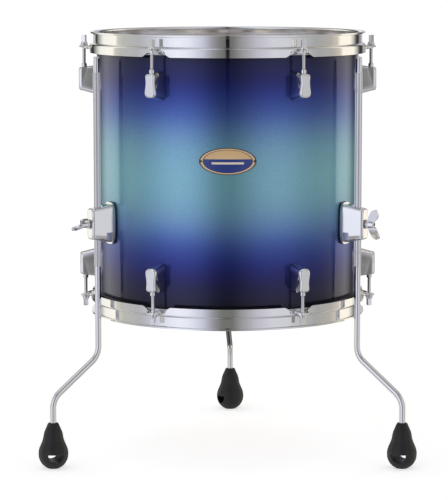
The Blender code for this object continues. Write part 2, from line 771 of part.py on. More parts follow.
# ---- Assembly --------------------------------------------------------------------------------
def assemble():
    maple = material("lacquered_maple", (0.02, 0.10, 0.35), 0.12)
    chrome = material("chrome_plate", (0.75, 0.75, 0.77), 0.08, 1.0)
    zinc = material("zinc_plate", (0.55, 0.55, 0.56), 0.35, 1.0)
    aluminium = material("aluminium", (0.80, 0.80, 0.80), 0.30, 1.0)
    film = material("clear_film", (0.90, 0.92, 0.92), 0.15, alpha=0.3)
    rubber = material("black_rubber", (0.015, 0.015, 0.015), 0.65)
    badge = material("printed_badge", (0.62, 0.45, 0.25), 0.35)

    place("shell", shell_mesh(), maple, height=SHELL_MIDDLE)
    ends = {
        "batter": {"height": SHELL_TOP, "upside_down": False},
        "resonant": {"height": FLOOR_TO_SHELL, "upside_down": True},
    }
    skin, ring, hoop = film_mesh(), flesh_hoop_mesh(), hoop_mesh()
    rod, lug = tension_rod_mesh(), lug_mesh()
    for name, end in ends.items():
        place(f"{name}_head_film", skin, film, **end)
        place(f"{name}_flesh_hoop", ring, aluminium, **end)
        place(f"{name}_hoop", hoop, chrome, **end)
        down = -1 if end["upside_down"] else 1
        lug_end = {**end, "height": end["height"] - down * LUG_EDGE_DISTANCE}
        for number, bearing in enumerate(LUG_BEARINGS, 1):
            place(f"{name}_tension_rod_{number}", rod, chrome, bearing, ROD_CIRCLE, **end)
            place(f"{name}_lug_{number}", lug, chrome, bearing, SHELL_RADIUS, **lug_end)

    pieces = {
        "leg_bracket": (bracket_mesh(), chrome, 0.0),
        "bracket_gasket": (gasket_mesh(), rubber, 0.0),
        "eye_bolt": (eye_bolt_mesh(), zinc, eye_centre()),
        "wing_washer": (washer_mesh(), zinc, BRACKET_REACH + FIT_GAP),
    }
    nut, bolt = wing_nut_mesh(), bracket_bolt_mesh()
    leg, foot = leg_mesh(), foot_mesh()
    nut_radius = SHELL_RADIUS + BRACKET_REACH + WASHER_THICKNESS + 2 * FIT_GAP
    middle, rise = BRACKET_HEIGHT_ABOVE_FLOOR, BRACKET_BOLT_SPACING / 2
    for side, bearing in LEG_BEARINGS.items():
        for name, (mesh, look, offset) in pieces.items():
            place(f"{name}_{side}", mesh, look, bearing, SHELL_RADIUS + offset, middle)
        place(f"wing_nut_{side}", nut, chrome, bearing, nut_radius, middle, WING_TURNS[side])
        place(f"upper_bracket_bolt_{side}", bolt, zinc, bearing, SHELL_RADIUS, middle + rise)
        place(f"lower_bracket_bolt_{side}", bolt, zinc, bearing, SHELL_RADIUS, middle - rise)
        swing = math.radians(LEG_TURNS[side])
        steel_leg = place(f"leg_{side}", leg, chrome, bearing, LEG_CIRCLE)
        steel_leg.rotation_euler.z += swing
        along = LEG_CIRCLE + LEG_SPREAD * math.cos(swing)
        across = LEG_SPREAD * math.sin(swing)
        foot_bearing = bearing + math.degrees(math.atan2(across, along))
        foot_circle = math.hypot(along, across)
        rubber_foot = place(f"foot_{side}", foot, rubber, foot_bearing, foot_circle)
        rubber_foot.rotation_euler.z += math.radians(FOOT_TURNS[side] + 90)

    place("badge", badge_mesh(), badge, bearing=0, height=SHELL_MIDDLE + BADGE_ABOVE_MIDDLE)
    place("vent_grommet", vent_mesh(), zinc, VENT_BEARING, SHELL_RADIUS, SHELL_MIDDLE)


clear_scene()
DRUM_AXIS = bpy.data.objects.new("drum_axis", None)
DRUM_AXIS.location = (0, DRUM_AXIS_Y, 0)
bpy.context.collection.objects.link(DRUM_AXIS)
assemble()
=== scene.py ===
"""The looks of a 16 by 16 inch floor tom with a faded lacquer shell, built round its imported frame."""

import json
import math

import bpy
from mathutils import Matrix, Vector


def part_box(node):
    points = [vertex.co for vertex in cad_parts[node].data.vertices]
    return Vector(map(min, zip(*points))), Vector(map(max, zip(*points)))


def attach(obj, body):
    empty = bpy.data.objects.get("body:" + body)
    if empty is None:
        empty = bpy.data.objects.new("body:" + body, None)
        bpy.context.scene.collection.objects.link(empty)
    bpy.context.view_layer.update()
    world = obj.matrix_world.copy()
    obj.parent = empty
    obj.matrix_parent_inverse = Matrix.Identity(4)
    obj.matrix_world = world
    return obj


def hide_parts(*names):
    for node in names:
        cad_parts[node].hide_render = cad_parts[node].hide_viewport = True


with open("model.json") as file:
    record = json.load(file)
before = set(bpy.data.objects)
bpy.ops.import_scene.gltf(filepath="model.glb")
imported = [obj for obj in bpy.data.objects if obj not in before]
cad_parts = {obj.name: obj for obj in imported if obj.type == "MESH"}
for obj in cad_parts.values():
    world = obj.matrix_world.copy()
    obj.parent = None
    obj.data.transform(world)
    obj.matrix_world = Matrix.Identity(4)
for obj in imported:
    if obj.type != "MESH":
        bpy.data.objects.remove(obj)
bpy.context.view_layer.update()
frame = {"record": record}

# ---- Studio ----
# The drum stands on a pale floor in a light tent: tall soft panels stand round it, brightest at
# the front left and at both sides, with dark gaps between them that draw the chrome's edges.
shell_low, shell_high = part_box("shell")
AXIS = Vector(((shell_low.x + shell_high.x) / 2, (shell_low.y + shell_high.y) / 2, 0))

camera_data = bpy.data.cameras.new("camera")
camera = bpy.data.objects.new("camera", camera_data)
camera.location = AXIS + Vector((-0.0055, -3.543, 0.7768))
camera.rotation_euler = (math.radians(82.513), 0, 0)
camera_data.lens = 165.4
camera_data.sensor_width = 36
camera_data.clip_end = 200
bpy.context.collection.objects.link(camera)
bpy.context.scene.camera = camera
bpy.context.scene.view_settings.view_transform = "Standard"


def colour(code):
    """An sRGB hex colour as the linear red, green, blue and alpha that Blender works in."""
    parts = [int(code[place : place + 2], 16) / 255 for place in (1, 3, 5)]
    linear = [p / 12.92 if p <= 0.04045 else ((p + 0.055) / 1.055) ** 2.4 for p in parts]
    return (*linear, 1.0)


def wire(tree, inputs, links):
    """Links a socket to each input named, or gives it a value."""
    for name, value in links.items():
        if isinstance(value, bpy.types.NodeSocket):
            tree.links.new(value, inputs[name])
        else:
            inputs[name].default_value = value


def node(tree, kind, settings=None, links=None):
    """Adds a node. settings are its attributes; links are sockets or values for its inputs."""
    made = tree.nodes.new(kind)
    for name, value in (settings or {}).items():
        setattr(made, name, value)
    wire(tree, made.inputs, links or {})
    return made


def calc(tree, operation, first, second=0.0):
    """A Math node's result. Some operations take only the first value."""
    return node(tree, "ShaderNodeMath", {"operation": operation}, {0: first, 1: second}).outputs[0]


def mapped(tree, value, low, high, start=0.0, end=1.0):
    """The value, mapped from start and end to low and high, and clamped there."""
    span = {"From Min": start, "From Max": end, "To Min": low, "To Max": high}
    return node(tree, "ShaderNodeMapRange", links={"Value": value, **span}).outputs["Result"]


def noise(tree, place, scale, detail, distortion=0.0):
    """Noise from 0 to 1 over the places given."""
    links = {"Vector": place, "Scale": scale, "Detail": detail, "Distortion": distortion}
    return node(tree, "ShaderNodeTexNoise", links=links).outputs["Fac"]


def bump(tree, inputs, height, strength, distance):
    """Relief on the shader whose inputs these are."""
    links = {"Height": height, "Strength": strength, "Distance": distance}
    wire(tree, inputs, {"Normal": node(tree, "ShaderNodeBump", links=links).outputs["Normal"]})


def ramp(tree, factor, stops, blend="LINEAR"):
    """A colour ramp whose stops are (place from 0 to 1, colour)."""
    made = node(tree, "ShaderNodeValToRGB", links={"Fac": factor})
    band = made.color_ramp
    band.interpolation = blend
    while len(band.elements) < len(stops):
        band.elements.new(0.5)
    for element, (place, shade) in zip(band.elements, stops):
        element.position = place
        element.color = shade
    return made.outputs["Color"]


# Light from the tent's wall by its bearing from the front, -180 to 180 towards +X: the panels
# at the front left are cool, and those at the sides are warm.
PANELS = (
    (-180, 0.90, 0.90, 0.90), (-166, 0.85, 0.85, 0.88), (-161, 0.10, 0.10, 0.10), (-150, 0.02, 0.02, 0.02),
    (-143, 0.36, 0.37, 0.34), (-131, 1.10, 1.08, 1.00), (-110, 1.22, 1.17, 1.05), (-107, 0.74, 0.72, 0.64),
    (-100, 0.60, 0.60, 0.56), (-80, 0.54, 0.54, 0.56), (-67, 0.66, 0.67, 0.76), (-50, 0.96, 0.99, 1.13),
    (-42, 1.04, 1.06, 1.17), (-33, 0.97, 1.00, 1.12), (-21, 0.69, 0.71, 0.85), (-12.4, 0.37, 0.37, 0.40),
    (-5, 0.21, 0.21, 0.20), (4, 0.20, 0.20, 0.19), (12.4, 0.40, 0.39, 0.41), (25, 0.64, 0.62, 0.70),
    (38, 0.78, 0.78, 0.86), (52, 0.76, 0.76, 0.81), (66, 0.58, 0.57, 0.58), (80, 0.45, 0.46, 0.46),
    (97, 0.53, 0.50, 0.46), (107, 0.74, 0.67, 0.57), (110.5, 1.22, 1.14, 0.99), (128, 1.20, 1.14, 1.00),
    (135, 0.62, 0.60, 0.54), (142, 0.06, 0.06, 0.06), (149, 0.05, 0.05, 0.05), (158, 0.60, 0.58, 0.62),
)
HEIGHT_OF_LIGHT = ((-90, 0.70), (-30, 0.80), (-12, 1.0), (20, 1.0), (45, 0.60), (70, 1.2), (90, 1.4))
BRIGHTEST = 1.5

world = bpy.data.worlds.new("light_tent")
bpy.context.scene.world = world
world.use_nodes = True
sky = world.node_tree
sky.nodes.clear()
ray = node(sky, "ShaderNodeTexCoord").outputs["Generated"]
along = node(sky, "ShaderNodeSeparateXYZ", links={0: ray}).outputs
front = calc(sky, "MULTIPLY", along["Y"], -1.0)
turn = calc(sky, "ARCTAN2", along["X"], front)
turn_place = mapped(sky, turn, 0.0, 1.0, -math.pi, math.pi)
rise = calc(sky, "ARCSINE", along["Z"])
rise_place = mapped(sky, rise, 0.0, 1.0, -math.pi / 2, math.pi / 2)
wall_stops = [
    ((bearing + 180) / 360, (*[part / BRIGHTEST for part in light], 1.0))
    for bearing, *light in PANELS
]
height_stops = [
    ((angle + 90) / 180, (*[level / BRIGHTEST] * 3, 1.0)) for angle, level in HEIGHT_OF_LIGHT
]
wall = ramp(sky, turn_place, wall_stops)
height = ramp(sky, rise_place, height_stops)
lit = node(
    sky, "ShaderNodeMix", {"data_type": "RGBA", "blend_type": "MULTIPLY"},
    {"Factor": 1.0, 6: wall, 7: height},
)
# A dark stand at the front, 3.2 degrees wide, reaches from 5 degrees below level upwards.
STAND_HALF_WIDTH, STAND_FOOT = math.radians(1.6), math.radians(-5.0)
outside = calc(sky, "GREATER_THAN", calc(sky, "ABSOLUTE", turn), STAND_HALF_WIDTH)
under = calc(sky, "LESS_THAN", rise, STAND_FOOT)
power = calc(sky, "MULTIPLY", calc(sky, "MAXIMUM", outside, under), BRIGHTEST**2)
tent = node(sky, "ShaderNodeBackground", links={"Color": lit.outputs[2], "Strength": power})
paper = node(sky, "ShaderNodeBackground", links={"Color": colour("#fdfdfd"), "Strength": 1.0})
seen = node(sky, "ShaderNodeLightPath").outputs["Is Camera Ray"]
either = node(sky, "ShaderNodeMixShader", links={0: seen, 1: tent.outputs[0], 2: paper.outputs[0]})
node(sky, "ShaderNodeOutputWorld", links={"Surface": either.outputs[0]})

bpy.ops.object.select_all(action="DESELECT")
bpy.ops.mesh.primitive_circle_add(vertices=96, radius=60, fill_type="NGON", location=(0, 0, 0))
floor = bpy.context.object
floor.name = "studio_floor"
floor.visible_glossy = False
paint = bpy.data.materials.new("pale_studio_floor")
paint.use_nodes = True
glow = {"Emission Color": colour("#ffffff"), "Emission Strength": 0.62}
surface = paint.node_tree.nodes["Principled BSDF"].inputs
wire(paint.node_tree, surface, {"Base Color": colour("#dcdcdc"), "Roughness": 0.9, **glow})
floor.data.materials.append(paint)

# ---- Shell ----
# A tube of six maple plies. Both ends are cut to a bearing edge. The outside is stained in a
# fade, dark at the ends and pale in the middle, under thick clear lacquer. The inside is bare.
SHELL_RADIUS = (shell_high.x - shell_low.x) / 2
SHELL_TOP, SHELL_BOTTOM = shell_high.z, shell_low.z
SHELL_WALL, PLIES = 0.0054, 6
EDGE_INSET = 0.0015
RING_STEPS = 240
FITTINGS = frame["record"]["behaviour"]["joints"]
FIT_GAP = 0.0003


def bearing_of(point):
    """The angle about the drum's axis: 0 faces the front (-Y), 90 faces +X."""
    return math.degrees(math.atan2(point[1] - AXIS.y, point[0] - AXIS.x)) + 90


JOINT_AT = {joint["name"]: joint.get("pos_m") for joint in FITTINGS}
LUG_BEARINGS = [bearing_of(JOINT_AT[f"batter_tension_rod_{number}_turn"]) for number in range(1, 7)]
LEG_BEARINGS = {
    side: bearing_of(JOINT_AT[f"wing_nut_{side}_turn"]) for side in ("left", "right", "rear")
}


def rounded(corners, steps=4):
    """Points of an outline given by (x, y, radius) corners, with arcs at those with a radius."""
    points = []
    for number, (x, y, radius) in enumerate(corners):
        corner = Vector((x, y))
        if not radius:
            points.append(tuple(corner))
            continue
        before = Vector(corners[number - 1][:2]) - corner
        after = Vector(corners[(number + 1) % len(corners)][:2]) - corner
        before.normalize()
        after.normalize()
        half = before.angle(after) / 2
        centre = corner + (before + after).normalized() * radius / math.sin(half)
        start = corner + before * radius / math.tan(half) - centre
        sweep = start.angle_signed(corner + after * radius / math.tan(half) - centre)
        for step in range(steps + 1):
            points.append(tuple(centre + Matrix.Rotation(-sweep * step / steps, 2) @ start))
    return points


def only(piece):
    """Makes the piece the selected and active object, and the only one."""
    bpy.ops.object.select_all(action="DESELECT")
    piece.select_set(True)
    bpy.context.view_layer.objects.active = piece


def draw(name, points):
    """A chain of edges through the points, extruded one vertex at a time. Stays in edit mode."""
    bpy.ops.object.select_all(action="DESELECT")
    bpy.ops.mesh.primitive_plane_add(size=0.001, location=points[0])
    bpy.ops.object.transform_apply()
    piece = bpy.context.object
    piece.name = piece.data.name = name
    bpy.ops.object.mode_set(mode="EDIT")
    bpy.ops.mesh.merge(type="CENTER")
    for before, after in zip(points, points[1:]):
        move = Vector(after) - Vector(before)
        bpy.ops.mesh.extrude_region_move(TRANSFORM_OT_translate={"value": move})
    return piece


def turned(name, outline, steps, axis="Z"):
    """A lathe-turned piece. The outline is (radius, place along the axis), and it is closed."""
    points = [(r, 0, h) if axis == "Z" else (h, 0, r) for r, h in [*outline, outline[0]]]
    piece = draw(name, points)
    bpy.ops.mesh.select_all(action="SELECT")
    bpy.ops.mesh.remove_doubles(threshold=1e-7)
    direction = (0, 0, 1) if axis == "Z" else (1, 0, 0)
    bpy.ops.mesh.spin(steps=steps, angle=2 * math.pi, center=(0, 0, 0), axis=direction)
    tidy_mesh()
    return piece


def cylinder(radius, depth, centre=(0, 0, 0), along_x=False, vertices=48):
    """A plain cylinder about a centre, standing up or lying along X."""
    rotation = (0, math.pi / 2, 0) if along_x else (0, 0, 0)
    bpy.ops.mesh.primitive_cylinder_add(
        vertices=vertices, radius=radius, depth=depth, location=centre, rotation=rotation
    )
    bpy.ops.object.transform_apply()
    return bpy.context.object


def tidy_mesh():
    """Merges doubles, drops flat faces, points every face outwards and leaves edit mode."""
    bpy.ops.mesh.select_all(action="SELECT")
    bpy.ops.mesh.remove_doubles(threshold=2e-6)
    bpy.ops.mesh.dissolve_degenerate(threshold=1e-7)
    bpy.ops.mesh.normals_make_consistent(inside=False)
    bpy.ops.object.mode_set(mode="OBJECT")


def plate(name, points, thickness):
    """A plate: the outline's points filled with a face, then extruded by the thickness vector."""
    piece = draw(name, points)
    bpy.ops.mesh.select_all(action="SELECT")
    bpy.ops.mesh.edge_face_add()
    bpy.ops.mesh.extrude_region_move(TRANSFORM_OT_translate={"value": Vector(thickness)})
    tidy_mesh()
    return piece


def modify(piece, kind, **settings):
    """Adds a modifier with these settings and applies it."""
    only(piece)
    modifier = piece.modifiers.new(kind.lower(), kind)
    for name, value in settings.items():
        setattr(modifier, name, value)
    bpy.ops.object.modifier_apply(modifier=modifier.name)


def combine(piece, other, operation="DIFFERENCE"):
    """Cuts the other mesh from the piece, or unites the two, and removes the other."""
    modify(piece, "BOOLEAN", operation=operation, object=other, solver="EXACT")
    bpy.data.objects.remove(other)


def join(pieces):
    """The pieces as one object, the first of them."""
    bpy.ops.object.select_all(action="DESELECT")
    for piece in pieces:
        piece.select_set(True)
    bpy.context.view_layer.objects.active = pieces[0]
    bpy.ops.object.join()
    return pieces[0]


def soften(piece, width=0.0, segments=2, angle=30):
    """Rounds the piece's real edges and shades it smooth between them."""
    if width:
        modify(
            piece, "BEVEL", width=width, segments=segments, limit_method="ANGLE",
            angle_limit=math.radians(angle), use_clamp_overlap=True, harden_normals=False,
        )
    only(piece)
    bpy.ops.object.shade_smooth_by_angle(angle=math.radians(38))
    if width:
        modify(piece, "WEIGHTED_NORMAL", keep_sharp=True, weight=80)


def place(piece, bearing=90.0, radius=0.0, height=0.0, upside_down=False, turn=0.0, swing=0.0):
    """Stands a piece modelled about the origin, facing +X, at a bearing of the drum.

    turn is about the piece's own X, in degrees, and swing is about its own Z, in radians.
    """
    heading = math.radians(bearing - 90)
    piece.location = AXIS + Vector((radius * math.cos(heading), radius * math.sin(heading), height))
    piece.rotation_euler = (math.radians(turn) + (math.pi if upside_down else 0.0), 0, heading + swing)
    only(piece)
    bpy.ops.object.transform_apply()
    return piece


def copy_of(piece, name):
    copy = piece.copy()
    copy.data = piece.data.copy()
    copy.name = copy.data.name = name
    bpy.context.collection.objects.link(copy)
    return copy


def fit(piece, body, slot, look, *nodes):
    """The piece rides on a CAD body, wears a material and stands for the CAD nodes."""
    if look:
        piece.data.materials.clear()
        piece.data.materials.append(look)
    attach(piece, body)
    if nodes:
        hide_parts(*nodes)


def put(pattern, name, where, body, slot, look, *nodes):
    """A copy of the pattern, placed with the arguments in where, and fitted."""
    fit(place(copy_of(pattern, name), **where), body, slot, look, *nodes)


def discard(*patterns):
    for pattern in patterns:
        bpy.data.objects.remove(pattern)


def new_material(name):
    """An empty Principled material, its tree, its shader's inputs and its object coordinates."""
    made = bpy.data.materials.new(name)
    made.use_nodes = True
    tree = made.node_tree
    inputs = tree.nodes["Principled BSDF"].inputs
    return made, tree, inputs, node(tree, "ShaderNodeTexCoord").outputs["Object"]


# Colours by height above the shell's lower end, in millimetres: the stain in the wood, which
# scatters, and the metal flake in the lacquer, which shines.
STAIN = (
    (0, "#000000"), (24, "#000000"), (50, "#000000"), (68, "#000000"), (84, "#000000"),
    (99, "#000039"), (114, "#223a52"), (129, "#2a4a50"), (144, "#376563"), (160, "#357e75"),
    (180, "#2c8979"), (200, "#2b8a69"), (222, "#338967"), (250, "#0c6f46"), (269, "#00461f"),
    (284, "#00291f"), (299, "#001111"), (314, "#000000"), (329, "#000000"), (344, "#000000"),
    (358, "#000000"), (378, "#000000"), (396, "#000000"), (406, "#000000"),
)
FLAKE = (
    (0, "#040420"), (24, "#06093c"), (50, "#000060"), (68, "#001289"), (84, "#1334a5"),
    (99, "#3151b4"), (114, "#4266c4"), (129, "#648eda"), (144, "#7aa8e1"), (160, "#8bb6e0"),
    (180, "#97c5e5"), (200, "#9acbeb"), (222, "#9bccec"), (250, "#95c5ee"), (269, "#85b7ea"),
    (284, "#74a2e5"), (299, "#5782d9"), (314, "#4066c9"), (329, "#2646b3"), (344, "#042996"),
    (358, "#001379"), (378, "#00115c"), (396, "#060a34"), (406, "#05061e"),
)
FLAKE_SHARE = 0.6
FADE_WANDER = 0.004
# The flake is drawn at 0.9 mm, a little larger than it is, so that it shows.
FLAKES_PER_M = 1100.0


def lacquer_fade():
    """Blue stain with fine metal flake under gloss lacquer: deep, glassy, brightest face on."""
    made, tree, inputs, spot = new_material("lacquered_maple_fade")
    level = node(tree, "ShaderNodeSeparateXYZ", links={0: spot}).outputs["Z"]
    # The sprayed fade's edge wanders by a few millimetres round the shell.
    wander = mapped(tree, noise(tree, spot, 9.0, 1.0), -FADE_WANDER, FADE_WANDER)
    sprayed = calc(tree, "ADD", level, wander)
    place_up = mapped(tree, sprayed, 0.0, 1.0, SHELL_BOTTOM, SHELL_TOP)
    depth = (SHELL_TOP - SHELL_BOTTOM) * 1000
    stain, flake = (
        ramp(tree, place_up, [(up / depth, colour(code)) for up, code in stops], "B_SPLINE")
        for stops in (STAIN, FLAKE)
    )
    wire(tree, inputs, {"Base Color": stain, "Roughness": 0.6})
    speck = node(tree, "ShaderNodeTexVoronoi", links={"Vector": spot, "Scale": FLAKES_PER_M})
    spark = node(tree, "ShaderNodeSeparateColor", links={0: speck.outputs["Color"]}).outputs[0]
    gain = mapped(tree, spark, 0.90, 1.10)
    flaked = node(
        tree, "ShaderNodeVectorMath", {"operation": "SCALE"}, {0: flake, "Scale": gain}
    ).outputs[0]
    shine = node(
        tree, "ShaderNodeBsdfPrincipled",
        links={"Base Color": flaked, "Metallic": 1.0, "Roughness": 0.36},
    )
    for layer in (inputs, shine.inputs):
        wire(tree, layer, {"Coat Weight": 1.0, "Coat IOR": 1.37, "Coat Roughness": 0.02})
    both = node(
        tree, "ShaderNodeMixShader",
        links={0: FLAKE_SHARE, 1: tree.nodes["Principled BSDF"].outputs[0], 2: shine.outputs[0]},
    )
    tree.links.new(both.outputs[0], tree.nodes["Material Output"].inputs["Surface"])
    return made


def bare_maple():
    """Sanded and sealed maple: pale, straight grain round the shell, with ply lines on the edge."""
    made, tree, inputs, spot = new_material("sealed_maple")
    about = node(
        tree, "ShaderNodeVectorMath", {"operation": "SUBTRACT"}, {0: spot, 1: tuple(AXIS)}
    ).outputs[0]
    part = node(tree, "ShaderNodeSeparateXYZ", links={0: about}).outputs
    # The grain is long round the shell and fine up it.
    arc = calc(tree, "MULTIPLY", calc(tree, "ARCTAN2", part["Y"], part["X"]), SHELL_RADIUS * 6)
    fibre = calc(tree, "MULTIPLY", part["Z"], 220.0)
    unrolled = node(tree, "ShaderNodeCombineXYZ", links={0: arc, 1: fibre}).outputs[0]
    grain = noise(tree, unrolled, 1.0, 5.0, 0.6)
    tones = ((0.28, "#c39b68"), (0.46, "#dcb988"), (0.60, "#e6c99b"), (0.80, "#d2aa77"))
    wood = ramp(tree, grain, [(level, colour(code)) for level, code in tones])
    flat = node(tree, "ShaderNodeCombineXYZ", links={0: part["X"], 1: part["Y"]}).outputs[0]
    radius = node(tree, "ShaderNodeVectorMath", {"operation": "LENGTH"}, {0: flat}).outputs["Value"]
    ply = SHELL_WALL / PLIES
    line = mapped(tree, calc(tree, "PINGPONG", radius, ply), 0.72, 1.08, 0.0, ply)
    plied = node(
        tree, "ShaderNodeVectorMath", {"operation": "SCALE"}, {0: wood, "Scale": line}
    ).outputs[0]
    wire(tree, inputs, {"Base Color": plied, "Roughness": mapped(tree, grain, 0.42, 0.62)})
    bump(tree, inputs, grain, 0.15, 0.0002)
    return made


inside = SHELL_RADIUS - SHELL_WALL
edge = SHELL_RADIUS - EDGE_INSET
cut = edge - inside
drum_shell = turned(
    "drum_shell",
    rounded(
        [
            (inside, SHELL_BOTTOM + cut, 0.0008), (edge, SHELL_BOTTOM, 0.0004),
            (SHELL_RADIUS, SHELL_BOTTOM, 0.0012), (SHELL_RADIUS, SHELL_TOP, 0.0012),
            (edge, SHELL_TOP, 0.0004), (inside, SHELL_TOP - cut, 0.0008),
        ],
        3,
    ),
    RING_STEPS,
)
drum_shell = place(drum_shell)
vent_low, vent_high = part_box("vent_grommet")
VENT_AT = (vent_low + vent_high) / 2
VENT_BEARING = bearing_of(VENT_AT)
VENT_HOLE_RADIUS = 0.0062
vent_drill = cylinder(VENT_HOLE_RADIUS, 0.03, along_x=True, vertices=32)
combine(drum_shell, place(vent_drill, VENT_BEARING, SHELL_RADIUS - 0.003, VENT_AT.z))
soften(drum_shell)
drum_shell.data.materials.append(bare_maple())
drum_shell.data.materials.append(lacquer_fade())
for face in drum_shell.data.polygons:
    outwards = (face.center - AXIS).to_2d()
    face.material_index = int(outwards.length > SHELL_RADIUS - 0.0003)
fit(drum_shell, "drum", "lacquered_maple", None, "shell")

# ---- Heads ----
# Each head is a clear polyester film, formed down over the bearing edge and bonded inside an
# aluminium flesh hoop. The tensioning hoop presses the flesh hoop down and draws the film tight.
ENDS = {
    "batter": {"height": SHELL_TOP, "upside_down": False},
    "resonant": {"height": SHELL_BOTTOM, "upside_down": True},
}
FILM_INSIDE = SHELL_RADIUS + 0.0008
FILM_THICKNESS = 0.0003
FLESH_INSIDE, FLESH_TOP = SHELL_RADIUS + 0.0015, -0.0069
FLESH_WIDTH, FLESH_HEIGHT = 0.0059, 0.0090


def lathed(name, corners, steps, axis="Z"):
    """A lathe-turned piece with rounded corners, shaded smooth. Corners are as rounded takes them."""
    piece = turned(name, rounded(corners, 3), steps, axis)
    soften(piece)
    return piece


def clear_film():
    """Clear polyester, glossy: faint and bluish face on, and paler at a shallow angle, where its pale
    colour is made more opaque as a painted sheen.
    """
    made, tree, inputs, spot = new_material("clear_polyester_film")
    haze = mapped(tree, noise(tree, spot, 6.0, 2.0), 0.02, 0.06)
    # Painted sheen: the pale film colour grows more opaque as the face turns away from the view, standing
    # in for the film's reflection at a shallow angle.
    facing = node(tree, "ShaderNodeLayerWeight", links={"Blend": 0.35}).outputs["Facing"]
    painted_sheen_opacity = mapped(tree, facing, 0.14, 0.55)
    looks = {"Base Color": colour("#e9eef2"), "Roughness": haze, "Alpha": painted_sheen_opacity, "IOR": 1.58}
    wire(tree, inputs, looks)
    return made


def soft_metal(name, code, roughness, spread, scale, relief):
    """A metal finish with a faint mottle: its colour, roughness and how far that wanders."""
    made, tree, inputs, spot = new_material(name)
    mottle = noise(tree, spot, scale, 4.0)
    rough = mapped(tree, mottle, roughness - spread, roughness + spread)
    wire(tree, inputs, {"Base Color": colour(code), "Metallic": 1.0, "Roughness": rough})
    if relief:
        bump(tree, inputs, mottle, relief, 0.0001)
    return made


# The film's underside from the middle outwards, as (radius, height, lean of its face from level).
FILM_RUN = (
    (0, FIT_GAP, 0), (0.06, FIT_GAP, 0), (0.12, FIT_GAP, 0), (0.17, FIT_GAP, 0),
    (edge - 0.0010, FIT_GAP, 0), (edge + 0.0004, FIT_GAP - 0.00005, 8),
    (edge + 0.0012, FIT_GAP - 0.0003, 28), (edge + 0.0017, -0.0004, 52),
    (FILM_INSIDE - 0.0002, -0.0013, 76), (FILM_INSIDE - 0.00005, -0.0021, 85),
    (FILM_INSIDE, -0.0030, 90), (FILM_INSIDE, -0.0150, 90),
)
over = [
    (
        radius + FILM_THICKNESS * math.sin(math.radians(lean)),
        level + FILM_THICKNESS * math.cos(math.radians(lean)),
    )
    for radius, level, lean in FILM_RUN
]
film = turned("head_film", [(r, h) for r, h, _ in FILM_RUN] + over[::-1], 192)
soften(film)
FLESH_OUTSIDE, FLESH_BOTTOM = FLESH_INSIDE + FLESH_WIDTH, FLESH_TOP - FLESH_HEIGHT
GROOVE_IN, GROOVE_OUT, GROOVE_FLOOR = FLESH_INSIDE + 0.0016, FLESH_INSIDE + 0.0030, FLESH_TOP - 0.0012
flesh_hoop = lathed(
    "flesh_hoop",
    [
        (FLESH_INSIDE, FLESH_BOTTOM, 0.0005), (FLESH_OUTSIDE, FLESH_BOTTOM, 0.0012),
        (FLESH_OUTSIDE, FLESH_TOP, 0.0007), (GROOVE_OUT, FLESH_TOP, 0.0003),
        (GROOVE_OUT, GROOVE_FLOOR, 0), (GROOVE_IN, GROOVE_FLOOR, 0),
        (GROOVE_IN, FLESH_TOP, 0.0003), (FLESH_INSIDE, FLESH_TOP, 0.0004),
    ],
    192,
)
film_look = clear_film()
flesh_look = soft_metal("rolled_aluminium", "#d3d4d6", 0.30, 0.08, 60.0, 0.1)
for end, stands in ENDS.items():
    body, ring = f"{end}_head", f"{end}_flesh_hoop"
    put(film, f"{end}_film", stands, body, "clear_film", film_look, f"{body}_film")
    put(flesh_hoop, f"{ring}_ring", stands, body, "aluminium", flesh_look, ring)
discard(film, flesh_hoop)

# ---- Hoops ----
# Flanged hoops pressed from 2.3 mm steel strip and chromed: a flat lip turned outwards, a wall,
# a shoulder and a skirt. At each rod the skirt is folded out into an ear between two gussets.
HOOP_METAL = 0.0023
HOOP_TOP, LIP_REACH, WALL_MIDDLE = 0.0131, SHELL_RADIUS + 0.0100, SHELL_RADIUS + 0.00415
SHOULDER, SKIRT_MIDDLE, SKIRT_BOTTOM = -0.00545, SHELL_RADIUS + 0.00945, -0.0189
FOLD_AT, FOLD_RADIUS = -0.00845, 0.0020
HOOP_STEPS, SKIRT_ROWS = 720, 12
EAR_HOLE_RADIUS = 0.0033
ROD_CIRCLE = (Vector(JOINT_AT["batter_tension_rod_1_turn"]) - AXIS).to_2d().length
# Across an ear, in mm from its middle: how far the skirt folds out, and its length below the fold.
EAR = (
    (0, 90, 18.7), (3.7, 90, 18.7), (5.5, 90, 18.1), (7.4, 90, 15.9), (9.2, 82, 11.2), (11.1, 60, 8.2),
    (12.9, 34, 6.7), (14.7, 11, 6.1), (16.6, 0, 6.3), (18.4, 0, 7.3), (20.3, 0, 8.6), (22.1, 0, 9.7),
    (24.0, 0, 10.3), (25.8, 0, 10.45),
)


def ear_shape(across):
    """(fold angle, length below the fold) of the skirt at a distance across from an ear's middle."""
    for (a, fold_a, length_a), (b, fold_b, length_b) in zip(EAR, EAR[1:]):
        if across <= b:
            part = (across - a) / (b - a)
            fold = fold_a + part * (fold_b - fold_a)
            return math.radians(fold), (length_a + part * (length_b - length_a)) / 1000
    return 0.0, FOLD_AT - SKIRT_BOTTOM


def down_the_skirt(far, fold):
    """How far out and up the skirt has gone, at a distance along it below the fold."""
    arc = min(far, FOLD_RADIUS * fold)
    if fold < 1e-6:
        return 0.0, -far
    out = FOLD_RADIUS * (1 - math.cos(arc / FOLD_RADIUS)) + (far - arc) * math.sin(fold)
    down = FOLD_RADIUS * math.sin(arc / FOLD_RADIUS) + (far - arc) * math.cos(fold)
    return out, -down


def chrome_plate():
    """Bright decorative chrome: a mirror with a very slight waviness and a trace of handling."""
    made, tree, inputs, spot = new_material("chrome_plate")
    smear = mapped(tree, noise(tree, spot, 35.0, 5.0), 0.05, 0.12, 0.35)
    wire(tree, inputs, {"Base Color": colour("#e7e7e7"), "Metallic": 1.0, "Roughness": smear})
    bump(tree, inputs, noise(tree, spot, 90.0, 1.0), 0.04, 0.0003)
    return made


